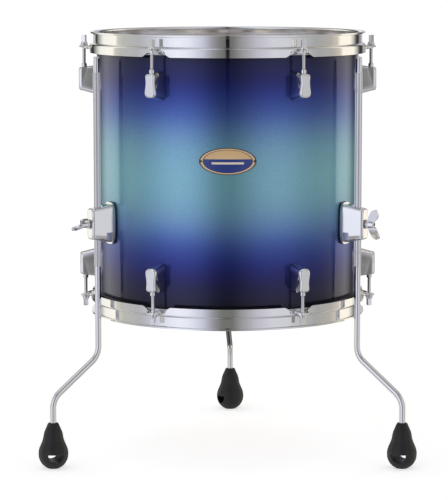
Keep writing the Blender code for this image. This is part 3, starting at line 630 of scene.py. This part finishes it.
section = rounded(
    [
        (LIP_REACH, HOOP_TOP - HOOP_METAL / 2, 0), (WALL_MIDDLE, HOOP_TOP - HOOP_METAL / 2, 0.0022),
        (WALL_MIDDLE, SHOULDER, 0.0018), (SKIRT_MIDDLE, SHOULDER, 0.0026), (SKIRT_MIDDLE, FOLD_AT, 0),
    ],
    5,
)
length = FOLD_AT - SKIRT_BOTTOM
section += [(SKIRT_MIDDLE, FOLD_AT - length * row / SKIRT_ROWS) for row in range(1, SKIRT_ROWS + 1)]
hoop = draw("hoop", [(radius, 0, level) for radius, level in section])
bpy.ops.mesh.select_all(action="SELECT")
bpy.ops.mesh.spin(steps=HOOP_STEPS, angle=2 * math.pi, center=(0, 0, 0), axis=(0, 0, 1))
tidy_mesh()
for vertex in hoop.data.vertices:
    below = FOLD_AT - vertex.co.z
    if below < 1e-5:
        continue
    heading = math.degrees(math.atan2(vertex.co.y, vertex.co.x)) + 90
    nearest = min(abs((heading - ear + 180) % 360 - 180) for ear in LUG_BEARINGS)
    across = math.radians(nearest) * SKIRT_MIDDLE * 1000
    fold, ear_length = ear_shape(across)
    out, up = down_the_skirt(below / length * ear_length, fold)
    direction = Vector((vertex.co.x, vertex.co.y, 0)).normalized()
    # The ear's sides run parallel, so its columns keep their distance from the rod.
    vertex.co = direction * (SKIRT_MIDDLE + out) + Vector((0, 0, FOLD_AT + up))
modify(hoop, "SOLIDIFY", thickness=HOOP_METAL, offset=0.0)
holes = []
for bearing in LUG_BEARINGS:
    heading = math.radians(bearing - 90)
    centre = (ROD_CIRCLE * math.cos(heading), ROD_CIRCLE * math.sin(heading), -0.0105)
    holes.append(cylinder(EAR_HOLE_RADIUS, 0.02, centre, vertices=32))
combine(hoop, join(holes))
soften(hoop, 0.0005, 2, 50)
chrome = chrome_plate()
for end, stands in ENDS.items():
    name = f"{end}_hoop"
    put(hoop, f"{end}_flanged_hoop", stands, name, "chrome_plate", chrome, name)
discard(hoop)

# ---- Tension rods ----
# Chromed steel key rods. Each goes down through a steel washer and the hoop's ear into the lug's
# nut. The head is a square for a drum key, standing on a round flange; the thread is rolled.
SEAT = -0.0090
WASHER_TOP, FLANGE_TOP, KEY_TOP = SEAT + 0.0020, SEAT + 0.0058, SEAT + 0.0162
SHANK_END = -0.0698
THREAD_PITCH = 0.00106


def box_at(name, size, centre):
    """A block of a size, with its corners applied, about a centre."""
    bpy.ops.object.select_all(action="DESELECT")
    bpy.ops.mesh.primitive_cube_add(size=1.0, location=centre)
    bpy.context.object.scale = size
    bpy.ops.object.transform_apply()
    bpy.context.object.name = name
    return bpy.context.object


def threaded(radius, low, high, depth=0.0004):
    """Points of a rolled thread's outline from low to high, drawn as rings one pitch apart."""
    turns = int((high - low) / THREAD_PITCH)
    points = []
    for number in range(turns):
        base = low + number * THREAD_PITCH
        crest = [(radius, base + THREAD_PITCH * part) for part in (0.42, 0.58)]
        points += [(radius - depth, base), *crest]
    return points + [(radius - depth, low + turns * THREAD_PITCH)]


shank = [(0, SHANK_END), (0.0018, SHANK_END), *threaded(0.00275, SHANK_END + 0.0006, -0.0150)]
shank += [(0.0026, -0.0140), (0.0026, WASHER_TOP - 0.0004), (0.0050, WASHER_TOP)]
shank += [(0.0055, WASHER_TOP + 0.0005), (0.0055, FLANGE_TOP - 0.0016), (0.0051, FLANGE_TOP - 0.0007)]
shank += [(0.0044, FLANGE_TOP - 0.0001), (0, FLANGE_TOP)]
rod = turned("rod", shank, 24)
soften(rod)
key_foot = FLANGE_TOP - 0.0006
key = box_at("key", (0.0063, 0.0063, KEY_TOP - key_foot), (0, 0, (KEY_TOP + key_foot) / 2))
bpy.ops.object.mode_set(mode="EDIT")
bpy.ops.mesh.select_all(action="SELECT")
bpy.ops.transform.rotate(value=math.radians(20), orient_axis="Z", center_override=(0, 0, 0))
bpy.ops.object.mode_set(mode="OBJECT")
soften(key, 0.0006, 3)
rod = join([rod, key])
washer_face = WASHER_TOP - 0.0003
rod_washer = lathed(
    "rod_washer",
    [(0.0029, SEAT, 0), (0.0065, SEAT, 0.0004), (0.0065, washer_face, 0.0005), (0.0029, washer_face, 0)],
    40,
)
for end, stands in ENDS.items():
    for number, bearing in enumerate(LUG_BEARINGS, 1):
        name = f"{end}_tension_rod_{number}"
        at_ear = {"bearing": bearing, "radius": ROD_CIRCLE, **stands}
        put(rod, f"{name}_steel", at_ear, name, "chrome_plate", chrome, name)
        put(rod_washer, f"{name}_washer", at_ear, name, "chrome_plate", chrome)
discard(rod, rod_washer)

# ---- Lugs ----
# Die-cast and chromed, one at each rod's end. A rounded barrel stands at the front, waisted at
# mid-height, and a tapering flute in each flank parts it from the foot that sits on the shell.
# Each holds a swivel nut and is screwed on from inside the shell.
LUG_REACH, LUG_HEIGHT, ROD_OFFSET = 0.0281, 0.0355, ROD_CIRCLE - SHELL_RADIUS
# What is fixed from inside the shell sits this far in from its outside.
INSIDE_SEAT = -(SHELL_WALL + 0.0005)
lug_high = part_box("batter_lug_1")[1]
NUT_RISE = 0.0059
LUG_EDGE_DISTANCE = SHELL_TOP - (lug_high.z - NUT_RISE)
# The outline from the front, as (half width, height): waisted, with a rounded closed end.
HALF_FACE = (
    (0.0018, 0.0003), (0.0040, 0.0), (0.0058, -0.0007), (0.0069, -0.0020), (0.0073, -0.0038),
    (0.0070, -0.0075), (0.0067, -0.0115), (0.0069, -0.0160), (0.0074, -0.0205), (0.0080, -0.0245),
    (0.0084, -0.0275), (0.0083, -0.0300), (0.0075, -0.0322), (0.0060, -0.0340), (0.0040, -0.0351),
    (0.0014, -0.0356),
)
FACE_WIDEST = max(half for half, _ in HALF_FACE)
FACE_MIDDLE = HALF_FACE[-1][1] / 2
LUG_FACE = [(half / FACE_WIDEST, 1 - level / FACE_MIDDLE) for half, level in HALF_FACE]
LUG_FACE += [(-y, level) for y, level in reversed(LUG_FACE)]
FACE_ROUND, FACE_INSET = 0.0058, 0.0034
FACE_START = LUG_REACH - 0.0006 - FACE_ROUND
# Rings of the foot, and the one where the front starts, as (x, half width, low, high).
LUG_FOOT = ((FIT_GAP, 0.0108, -0.0420, 0.0030), (0.0125, 0.0104, -0.0388, 0.0014))
LUG_FRONT = (FACE_START, 0.0097, -0.0362, 0.0002)
# Each flute is a wedge: its side as (x, height), and where it starts and how wide it is cut.
FLUTE_SIDE = ((0.0222, -0.0262), (0.0222, 0.005), (0.0126, 0.005))
FLUTE_START, FLUTE_WIDE = 0.0050, 0.008
ROD_BORE_RADIUS = 0.0031


def loft(name, outline, rings):
    """A solid of rings (x, half width, low, high) along X. The outline runs from -1 to 1."""
    x, wide, low, high = rings[0]
    piece = draw(name, [(x, y * wide, (low + high) / 2 + z * (high - low) / 2) for y, z in outline])
    bpy.ops.mesh.select_all(action="SELECT")
    bpy.ops.mesh.edge_face_add()
    for (x, wide, low, high), (next_x, next_wide, next_low, next_high) in zip(rings, rings[1:]):
        grow = (next_high - next_low) / (high - low)
        move = (next_x - x, 0, next_high / grow - high)
        bpy.ops.mesh.extrude_region_move(TRANSFORM_OT_translate={"value": move})
        bpy.ops.transform.resize(value=(1, next_wide / wide, grow), center_override=(0, 0, 0))
    tidy_mesh()
    return piece


def rounding(x, wide, low, high, deep, inset, steps=7):
    """Rings that round off the front of a loft from this ring on."""
    rings = []
    for step in range(steps + 1):
        slope = math.pi / 2 * step / steps
        less = inset * (1 - math.cos(slope))
        rings.append((x + deep * math.sin(slope), wide - less, low + less, high - less))
    return rings


barrel = loft("lug", LUG_FACE, [*LUG_FOOT, *rounding(*LUG_FRONT, FACE_ROUND, FACE_INSET)])
for side in (-1, 1):
    wedge = [(x, side * FLUTE_START, z) for x, z in FLUTE_SIDE]
    combine(barrel, plate("flute", wedge, (0, side * FLUTE_WIDE, 0)))
combine(barrel, cylinder(ROD_BORE_RADIUS, 0.040, (ROD_OFFSET, 0, -0.0100)))
soften(barrel, 0.0005, 3, 32)
nut = lathed(
    "swivel_nut",
    [(0.0029, -0.0020, 0), (0.0041, -0.0020, 0), (0.0041, NUT_RISE, 0.0007), (0.0029, NUT_RISE, 0)],
    36,
)
nut.location = (ROD_OFFSET, 0, 0)
bpy.ops.object.transform_apply()


def inside_bolt(name, diameter, washer_diameter):
    """A hex bolt and its washer, seated on the inside of the shell, pointing out along X."""
    back = INSIDE_SEAT - 0.0013
    hole, rim = diameter / 2, washer_diameter / 2
    washer = lathed(
        f"{name}_washer",
        [(hole, back, 0), (rim, back, 0.0004), (rim, INSIDE_SEAT, 0.0004), (hole, INSIDE_SEAT, 0)],
        40, "X",
    )
    bpy.ops.object.select_all(action="DESELECT")
    tall = 0.75 * diameter
    middle = (back - tall / 2, 0, 0)
    head = cylinder(0.93 * diameter, tall, middle, True, 6)
    # The hexagon's outer corners are chamfered by a dome.
    wide = 0.95 * diameter
    dome_outline = [
        (0, -tall / 2), (0.80 * diameter, -tall / 2), (wide, -tall / 4), (wide, tall), (0, tall)
    ]
    dome = turned(f"{name}_dome", dome_outline, 48, "X")
    dome.location = middle
    bpy.ops.object.transform_apply()
    combine(head, dome, "INTERSECT")
    soften(head, 0.0002, 2)
    bolt = join([washer, head])
    bolt.name = bolt.data.name = name
    return bolt


zinc = soft_metal("bright_zinc_plate", "#b9b8b2", 0.30, 0.10, 140.0, 0.2)
screw = inside_bolt("lug_screw", 0.0050, 0.0140)
for end, stands in ENDS.items():
    down = -1 if stands["upside_down"] else 1
    level = stands["height"] - down * LUG_EDGE_DISTANCE
    for number, bearing in enumerate(LUG_BEARINGS, 1):
        name = f"{end}_lug_{number}"
        on_shell = {"bearing": bearing, "radius": SHELL_RADIUS}
        at_lug = {**stands, **on_shell, "height": level}
        put(barrel, f"{name}_casting", at_lug, "drum", "chrome_plate", chrome, name)
        put(nut, f"{name}_swivel_nut", at_lug, "drum", "chrome_plate", chrome)
        middle = {**on_shell, "height": level - down * LUG_HEIGHT / 2}
        put(screw, f"{name}_screw", middle, "drum", "zinc_plate", zinc)
discard(barrel, nut, screw)

# ---- Leg brackets ----
# Die-cast and chromed, on a rubber gasket, each held by two bolts from inside. The leg slides
# through an upright bore, and an eye bolt in a pocket behind it draws the leg against the casting.
bracket_low, bracket_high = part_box("leg_bracket_left")
BRACKET_Z = (bracket_low.z + bracket_high.z) / 2
REACH, BRACKET_TALL = 0.0375, 0.0490
FLANGE_WIDE, FLANGE_TALL, FLANGE_THICK, GASKET = 0.0290, 0.0630, 0.0032, 0.0012
# The pocket for the eye bolt, across and up, and the hole for its stud.
POCKET, STUD_HOLE_RADIUS = (0.0182, 0.0102), 0.0031
GRIP_RADIUS = 0.0054
LEG_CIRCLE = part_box("leg_rear")[0].y - AXIS.y + GRIP_RADIUS
LEG_OFFSET = LEG_CIRCLE - SHELL_RADIUS
BACK = GASKET + 2 * FIT_GAP


def squarish(half_wide, half_tall, x, power, count=72):
    """A superellipse at a distance x from the shell: power 2 is an ellipse, and higher is squarer."""
    points = []
    for step in range(count):
        angle = 2 * math.pi * step / count
        across, up = math.cos(angle), math.sin(angle)
        reach = (abs(across) ** power + abs(up) ** power) ** (-1 / power)
        points.append((x, half_wide * across * reach, half_tall * up * reach))
    return points


half = BRACKET_TALL / 2
# The body draws in from the flange to its outer face, whose edge is rounded off.
bracket = loft(
    "leg_bracket", [(y, z) for _, y, z in squarish(1, 1, 0, 5)],
    [
        (BACK + 0.001, 0.0132, -half - 0.0052, half + 0.0052),
        *rounding(REACH - 0.0042, 0.0112, -half + 0.0008, half - 0.0008, 0.0042, 0.0036),
    ],
)
flange = plate("bracket_flange", squarish(FLANGE_WIDE / 2, FLANGE_TALL / 2, BACK, 4), (FLANGE_THICK, 0, 0))
combine(bracket, flange, "UNION")
combine(bracket, cylinder(GRIP_RADIUS + 0.0004, 0.08, (LEG_OFFSET, 0, 0), vertices=64))
combine(bracket, box_at("pocket", (0.040, *POCKET), (0.0165, 0, 0)))
combine(bracket, cylinder(STUD_HOLE_RADIUS, 0.03, (REACH, 0, 0), True, 32))
for side in (-1, 1):
    corner = (BACK + FLANGE_THICK + 0.0052, side * 0.0135, -half + 0.0057)
    combine(bracket, box_at("relief", (0.0100, 0.0060, 0.0115), corner))
soften(bracket, 0.0006, 3, 32)
sheet_outline = squarish(FLANGE_WIDE / 2 + 0.0003, FLANGE_TALL / 2 + 0.0004, FIT_GAP, 4)
gasket = plate("bracket_gasket_sheet", sheet_outline, (GASKET, 0, 0))
combine(gasket, box_at("window", (0.01, *POCKET), (0, 0, 0)))
soften(gasket, 0.0002, 2)
bracket_bolt = inside_bolt("bracket_bolt", 0.0056, 0.0150)


def black_rubber():
    """Moulded black rubber: dark, dull, a faint grain and a little pale dust."""
    made, tree, inputs, spot = new_material("black_rubber")
    dust = noise(tree, spot, 70.0, 4.0)
    tones = ((0.35, "#131312"), (0.62, "#1a1a18"), (0.85, "#262523"))
    tone = ramp(tree, dust, [(level, colour(code)) for level, code in tones])
    wire(tree, inputs, {"Base Color": tone, "Roughness": mapped(tree, dust, 0.38, 0.62)})
    bump(tree, inputs, noise(tree, spot, 900.0, 3.0), 0.25, 0.0001)
    return made


rubber = black_rubber()
BOLT_RISE = 0.0200
for side, bearing in LEG_BEARINGS.items():
    where = {"bearing": bearing, "radius": SHELL_RADIUS, "height": BRACKET_Z}
    name = f"leg_bracket_{side}"
    put(bracket, f"{name}_casting", where, "drum", "chrome_plate", chrome, name)
    name = f"bracket_gasket_{side}"
    put(gasket, f"{name}_sheet", where, "drum", "black_rubber", rubber, name)
    for level, rise in (("upper", BOLT_RISE), ("lower", -BOLT_RISE)):
        name = f"{level}_bracket_bolt_{side}"
        at_bolt = {**where, "height": BRACKET_Z + rise}
        put(bracket_bolt, f"{name}_steel", at_bolt, "drum", "zinc_plate", zinc, name)
discard(bracket, gasket, bracket_bolt)

# ---- Leg clamps ----
# A zinc-plated eye bolt round the leg, its threaded stud coming out through the bracket to a
# washer and a cast wing nut. Turning the nut draws the eye and the leg towards it.
EYE_HOLE, EYE_WALL, EYE_HALF, STUD = 0.006425, 0.0019, 0.0040, 0.00275
EYE_CENTRE = LEG_OFFSET + EYE_HOLE - GRIP_RADIUS - FIT_GAP
NUT_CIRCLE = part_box("wing_nut_rear")[0].y - AXIS.y
HUB_LONG = 0.0127
NUT_TURN = {"left": -64, "right": 8, "rear": 35}

eye_rim = EYE_HOLE + EYE_WALL
eye = lathed(
    "eye",
    [
        (EYE_HOLE, -EYE_HALF, 0.0006), (eye_rim, -EYE_HALF, 0.0006),
        (eye_rim, EYE_HALF, 0.0006), (EYE_HOLE, EYE_HALF, 0.0006),
    ],
    48,
)
stud_end = NUT_CIRCLE + HUB_LONG - 0.0018 - SHELL_RADIUS - EYE_CENTRE
start = eye_rim - 0.0006
outline = [(0, start), (STUD - 0.0004, start), *threaded(STUD, start + 0.002, stud_end - 0.0006)]
stud = turned("stud", [*outline, (STUD - 0.0008, stud_end), (0, stud_end)], 24, "X")
soften(stud)
eye_bolt = join([eye, stud])
clamp_washer = lathed(
    "clamp_washer",
    [(0.0031, 0, 0), (0.0070, 0, 0.0003), (0.0070, 0.0011, 0.0004), (0.0031, 0.0011, 0)],
    48, "X",
)
hub = turned(
    "wing_nut",
    rounded(
        [
            (0.0028, 0.0002, 0), (0.0064, 0.0002, 0.0006), (0.0064, 0.0016, 0.0006),
            (0.0056, 0.0040, 0.002), (0.0047, HUB_LONG, 0.0012), (0.0028, HUB_LONG, 0),
        ],
        4,
    ),
    48, "X",
)
# One wing's side, as (place along the stud, height).
WING = (
    (0.0021, 0.0035), (0.0046, 0.0120), (0.0078, 0.0190), (0.0116, 0.0222), (0.0158, 0.0229),
    (0.0192, 0.0215), (0.0209, 0.0180), (0.0203, 0.0135), (0.0178, 0.0085), (0.0146, 0.0048),
    (0.0112, 0.0030),
)
wings = plate("wings", [(x, -0.0016, z) for x, z in WING], (0, 0.0032, 0))
other = copy_of(wings, "other_wing")
other.rotation_euler.x = math.pi
only(other)
bpy.ops.object.transform_apply()
combine(hub, wings, "UNION")
combine(hub, other, "UNION")
combine(hub, cylinder(0.0029, 0.04, along_x=True))
soften(hub, 0.0007, 3, 30)
for side, bearing in LEG_BEARINGS.items():
    where = {"bearing": bearing, "height": BRACKET_Z}
    name, radius = f"eye_bolt_{side}", SHELL_RADIUS + EYE_CENTRE
    put(eye_bolt, f"{name}_steel", {**where, "radius": radius}, name, "zinc_plate", zinc, name)
    name, radius = f"wing_washer_{side}", SHELL_RADIUS + REACH + FIT_GAP
    put(clamp_washer, f"{name}_steel", {**where, "radius": radius}, "drum", "zinc_plate", zinc, name)
    name = f"wing_nut_{side}"
    at_nut = {**where, "radius": NUT_CIRCLE, "turn": NUT_TURN[side]}
    put(hub, f"{name}_casting", at_nut, name, "chrome_plate", chrome, name)
discard(eye_bolt, clamp_washer, hub)

# ---- Legs ----
# Chromed steel rods, bent outwards near the foot. The upper length has a straight-knurled grip
# of 30 ribs for the bracket to clamp, and its top end is rounded.
LEG_RADIUS, LEG_TOP = 0.00475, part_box("leg_left")[1].z
GRIP_TOP, GRIP_BOTTOM, RIB_TALL, RIBS = 0.5937, 0.3007, 0.00042, 30
UPPER_CORNER, LOWER_CORNER, BEND = 0.1650, 0.1050, 0.0300
SOCKET_FLOOR = 0.0290
FOOT_AT, LEG_AT, SWING = {}, {}, {}
for side, bearing in LEG_BEARINGS.items():
    foot_low, foot_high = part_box(f"foot_{side}")
    heading = math.radians(bearing - 90)
    FOOT_AT[side] = ((foot_low + foot_high) / 2).to_2d()
    LEG_AT[side] = AXIS.to_2d() + Vector((math.cos(heading), math.sin(heading))) * LEG_CIRCLE
    reach = FOOT_AT[side] - LEG_AT[side]
    # The leg is free to turn in its bracket before it is clamped: how far this one has.
    SWING[side] = math.remainder(math.atan2(reach.y, reach.x) - heading, 2 * math.pi)
SPREAD = (FOOT_AT["rear"] - LEG_AT["rear"]).length

slope = math.atan2(UPPER_CORNER - LOWER_CORNER, SPREAD)
swing = math.pi / 2 - slope
cut = BEND * math.tan(swing / 2)
bpy.ops.object.select_all(action="DESELECT")
bpy.ops.mesh.primitive_circle_add(vertices=32, radius=LEG_RADIUS, location=(0, 0, UPPER_CORNER + cut))
leg = bpy.context.object
leg.name = leg.data.name = "leg"
bpy.ops.object.transform_apply()
bpy.ops.object.mode_set(mode="EDIT")
bpy.ops.mesh.select_all(action="SELECT")
bpy.ops.mesh.spin(steps=14, angle=swing, center=(BEND, 0, UPPER_CORNER + cut), axis=(0, 1, 0))
run = math.hypot(SPREAD, UPPER_CORNER - LOWER_CORNER) - 2 * cut
step = Vector((math.cos(slope), 0, -math.sin(slope))) * run
bpy.ops.mesh.extrude_region_move(TRANSFORM_OT_translate={"value": step})
bpy.ops.mesh.spin(steps=14, angle=-swing, center=(SPREAD - BEND, 0, LOWER_CORNER - cut), axis=(0, 1, 0))
into_foot = (0, 0, SOCKET_FLOOR + FIT_GAP - LOWER_CORNER + cut)
bpy.ops.mesh.extrude_region_move(TRANSFORM_OT_translate={"value": into_foot})
bpy.ops.mesh.edge_face_add()
bpy.ops.object.mode_set(mode="OBJECT")
upper = turned(
    "upper_leg",
    [
        (LEG_RADIUS, UPPER_CORNER + cut), (LEG_RADIUS, LEG_TOP - 0.0030), (0.00445, LEG_TOP - 0.0016),
        (0.0036, LEG_TOP - 0.0006), (0.0022, LEG_TOP - 0.0001), (0, LEG_TOP),
    ],
    32,
)
leg = join([leg, upper])
bpy.ops.object.mode_set(mode="EDIT")
tidy_mesh()
soften(leg)
ribs = []
# Each rib takes four points: two on its crest, drawn together a little, and two in the groove.
for number in range(RIBS * 4):
    radius = GRIP_RADIUS if number % 4 in (0, 1) else GRIP_RADIUS - RIB_TALL
    shift = (0.18, -0.18, 0, 0)[number % 4]
    angle = 2 * math.pi * (number + shift) / (RIBS * 4)
    ribs.append((radius * math.cos(angle), radius * math.sin(angle), GRIP_BOTTOM))
grip = plate("grip", ribs, (0, 0, GRIP_TOP - GRIP_BOTTOM))
ends = turned(
    "grip_ends",
    [
        (0, GRIP_BOTTOM), (LEG_RADIUS - 0.0002, GRIP_BOTTOM), (GRIP_RADIUS + 0.001, GRIP_BOTTOM + 0.0022),
        (GRIP_RADIUS + 0.001, GRIP_TOP - 0.0022), (LEG_RADIUS - 0.0002, GRIP_TOP), (0, GRIP_TOP),
    ],
    60,
)
combine(grip, ends, "INTERSECT")
soften(grip)
leg = join([leg, grip])
for side, bearing in LEG_BEARINGS.items():
    name = f"leg_{side}"
    at_bracket = {"bearing": bearing, "radius": LEG_CIRCLE, "swing": SWING[side]}
    put(leg, f"{name}_steel", at_bracket, name, "chrome_plate", chrome, name)
discard(leg)

# ---- Feet ----
# Moulded rubber feet pushed onto the legs. Each is pear-shaped, with a half-moon slot cut through
# it so that it gives under load, and small notches round the sole's edge.
FOOT_RADIUS, FOOT_TALL = 0.0225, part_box("foot_rear")[1].z
FOOT_TURN = {"left": -14, "right": 9, "rear": 32}
PEAR = (
    (0.315, 1.0), (0.345, 0.993), (0.385, 0.968), (0.435, 0.930), (0.490, 0.888), (0.545, 0.848),
    (0.600, 0.802), (0.635, 0.762), (0.655, 0.720), (0.675, 0.680), (0.705, 0.635), (0.755, 0.588),
    (0.815, 0.540), (0.880, 0.492), (0.935, 0.448), (0.975, 0.400), (0.998, 0.345), (0.997, 0.290),
    (0.975, 0.235), (0.935, 0.190), (0.880, 0.150), (0.800, 0.108), (0.700, 0.070), (0.580, 0.038),
    (0.460, 0.014), (0.395, 0.0), (0, 0),
)
outline = [(part * FOOT_RADIUS, level * FOOT_TALL) for part, level in PEAR]
outline += [(0, SOCKET_FLOOR), (LEG_RADIUS + FIT_GAP, SOCKET_FLOOR), (LEG_RADIUS + FIT_GAP, FOOT_TALL)]
foot = turned("foot", outline, 64)
slot_half, slot_top, slot_tall = 0.0118, 0.0235, 0.0130
half_moon = [(-slot_half, slot_top), (slot_half, slot_top)]
for step in range(1, 12):
    angle = math.pi * step / 12
    half_moon.append((slot_half * math.cos(angle), slot_top - slot_tall * math.sin(angle)))
combine(foot, plate("half_moon", [(-0.04, y, z) for y, z in half_moon], (0.08, 0, 0)))
notches = []
for number in range(10):
    notch = box_at("notch", (0.0050, 0.0022, 0.0040), (0.60 * FOOT_RADIUS, 0, 0.0012))
    notch.rotation_euler.z = 2 * math.pi * (number + 0.5) / 10
    bpy.ops.object.transform_apply()
    notches.append(notch)
combine(foot, join(notches))
soften(foot, 0.0005, 2, 40)
for side, bearing in LEG_BEARINGS.items():
    moulding = copy_of(foot, f"foot_{side}_moulding")
    moulding.location = (*FOOT_AT[side], 0)
    moulding.rotation_euler.z = math.radians(bearing + FOOT_TURN[side])
    only(moulding)
    bpy.ops.object.transform_apply()
    fit(moulding, f"leg_{side}", "black_rubber", rubber, f"foot_{side}")
discard(foot)

# ---- Vent ----
# A chromed grommet through the shell lets the air out. Its tube is rolled over inside.
roll = INSIDE_SEAT - 0.0012
vent = lathed(
    "vent",
    [
        (0.0045, roll, 0.0004), (0.0076, roll, 0.0005), (0.0076, INSIDE_SEAT, 0), (0.0060, INSIDE_SEAT, 0),
        (0.0060, FIT_GAP, 0), (0.0095, FIT_GAP, 0.0003), (0.0088, 0.0018, 0.0010),
        (0.0056, 0.0022, 0.0010), (0.0045, 0.0010, 0.0006),
    ],
    64, "X",
)
vent = place(vent, VENT_BEARING, SHELL_RADIUS, VENT_AT.z)
fit(vent, "drum", "chrome_plate", chrome, "vent_grommet")

# ---- Badge ----
# A thin oval metal plate, printed and clear-coated, bent to the shell and glued on its front.
badge_low, badge_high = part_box("badge")
BADGE_Z = (badge_low.z + badge_high.z) / 2
BADGE_WIDE, BADGE_TALL, BADGE_THICK = 0.0844, badge_high.z - badge_low.z, 0.0008


def printed_badge():
    """Printed plate: dark edge, tan ring, tan upper field, plain navy lower field, cream bar."""
    made, tree, inputs, spot = new_material("printed_badge_plate")
    part = node(tree, "ShaderNodeSeparateXYZ", links={0: spot}).outputs
    across = calc(tree, "DIVIDE", part["X"], BADGE_WIDE / 2)
    up = calc(tree, "DIVIDE", calc(tree, "SUBTRACT", part["Z"], BADGE_Z), BADGE_TALL / 2)
    flat = node(tree, "ShaderNodeCombineXYZ", links={0: across, 1: up}).outputs[0]
    out = node(tree, "ShaderNodeVectorMath", {"operation": "LENGTH"}, {0: flat}).outputs["Value"]

    def over(mask, below, code):
        links = {"Factor": mask, 6: below, 7: colour(code)}
        return node(tree, "ShaderNodeMix", {"data_type": "RGBA"}, links).outputs[2]

    bands = (
        (0.0, "#d9b98c"), (0.83, "#cba878"), (0.845, "#40352c"), (0.865, "#40352c"),
        (0.88, "#dcbd96"), (0.945, "#c9a67b"), (0.96, "#22242c"), (1.0, "#22242c"),
    )
    rings = ramp(tree, out, [(level, colour(code)) for level, code in bands])
    field = calc(tree, "LESS_THAN", out, 0.85)
    lower = calc(tree, "MULTIPLY", field, calc(tree, "LESS_THAN", up, 0.16))
    navy = over(lower, rings, "#14307c")
    low, high = calc(tree, "GREATER_THAN", up, -0.22), calc(tree, "LESS_THAN", up, -0.06)
    narrow = calc(tree, "LESS_THAN", calc(tree, "ABSOLUTE", across), 0.56)
    bar = calc(tree, "MULTIPLY", calc(tree, "MULTIPLY", high, low), narrow)
    gloss = {"Roughness": 0.30, "Coat Weight": 0.7, "Coat Roughness": 0.05}
    wire(tree, inputs, {"Base Color": over(bar, navy, "#d8cdbb"), **gloss})
    return made


pin_look = soft_metal("blackened_brass", "#3a3630", 0.35, 0.1, 200.0, 0.0)
bpy.ops.object.select_all(action="DESELECT")
bpy.ops.mesh.primitive_circle_add(vertices=96, radius=1.0, fill_type="NGON")
badge_plate = bpy.context.object
badge_plate.name = badge_plate.data.name = "badge_plate"
bpy.ops.object.mode_set(mode="EDIT")
bpy.ops.mesh.select_all(action="SELECT")
for ring in range(6):
    bpy.ops.mesh.inset(thickness=0.16)
bpy.ops.object.mode_set(mode="OBJECT")
modify(badge_plate, "SOLIDIFY", thickness=BADGE_THICK, offset=1.0)
for vertex in badge_plate.data.vertices:
    # The flat plate's X becomes distance round the shell, and its thickness becomes radius.
    radius = SHELL_RADIUS + FIT_GAP + vertex.co.z
    angle = vertex.co.x * BADGE_WIDE / 2 / SHELL_RADIUS
    height_up = BADGE_Z + vertex.co.y * BADGE_TALL / 2
    vertex.co = AXIS + Vector((radius * math.sin(angle), -radius * math.cos(angle), height_up))
soften(badge_plate, 0.0002, 2, 50)
fit(badge_plate, "drum", "printed_badge", printed_badge(), "badge")
# A small blackened pin at each end of the oval holds it.
PIN = ((0, 0.0008), (0.0016, 0.0008), (0.0014, 0.0013), (0.0008, 0.0016), (0, 0.0017))
for side in (-1, 1):
    pin = turned(f"badge_pin_{side}", PIN, 24, "X")
    soften(pin)
    angle = math.degrees(side * 0.93 * BADGE_WIDE / 2 / SHELL_RADIUS)
    pin = place(pin, angle, SHELL_RADIUS + FIT_GAP, BADGE_Z)
    fit(pin, "drum", "printed_badge", pin_look)
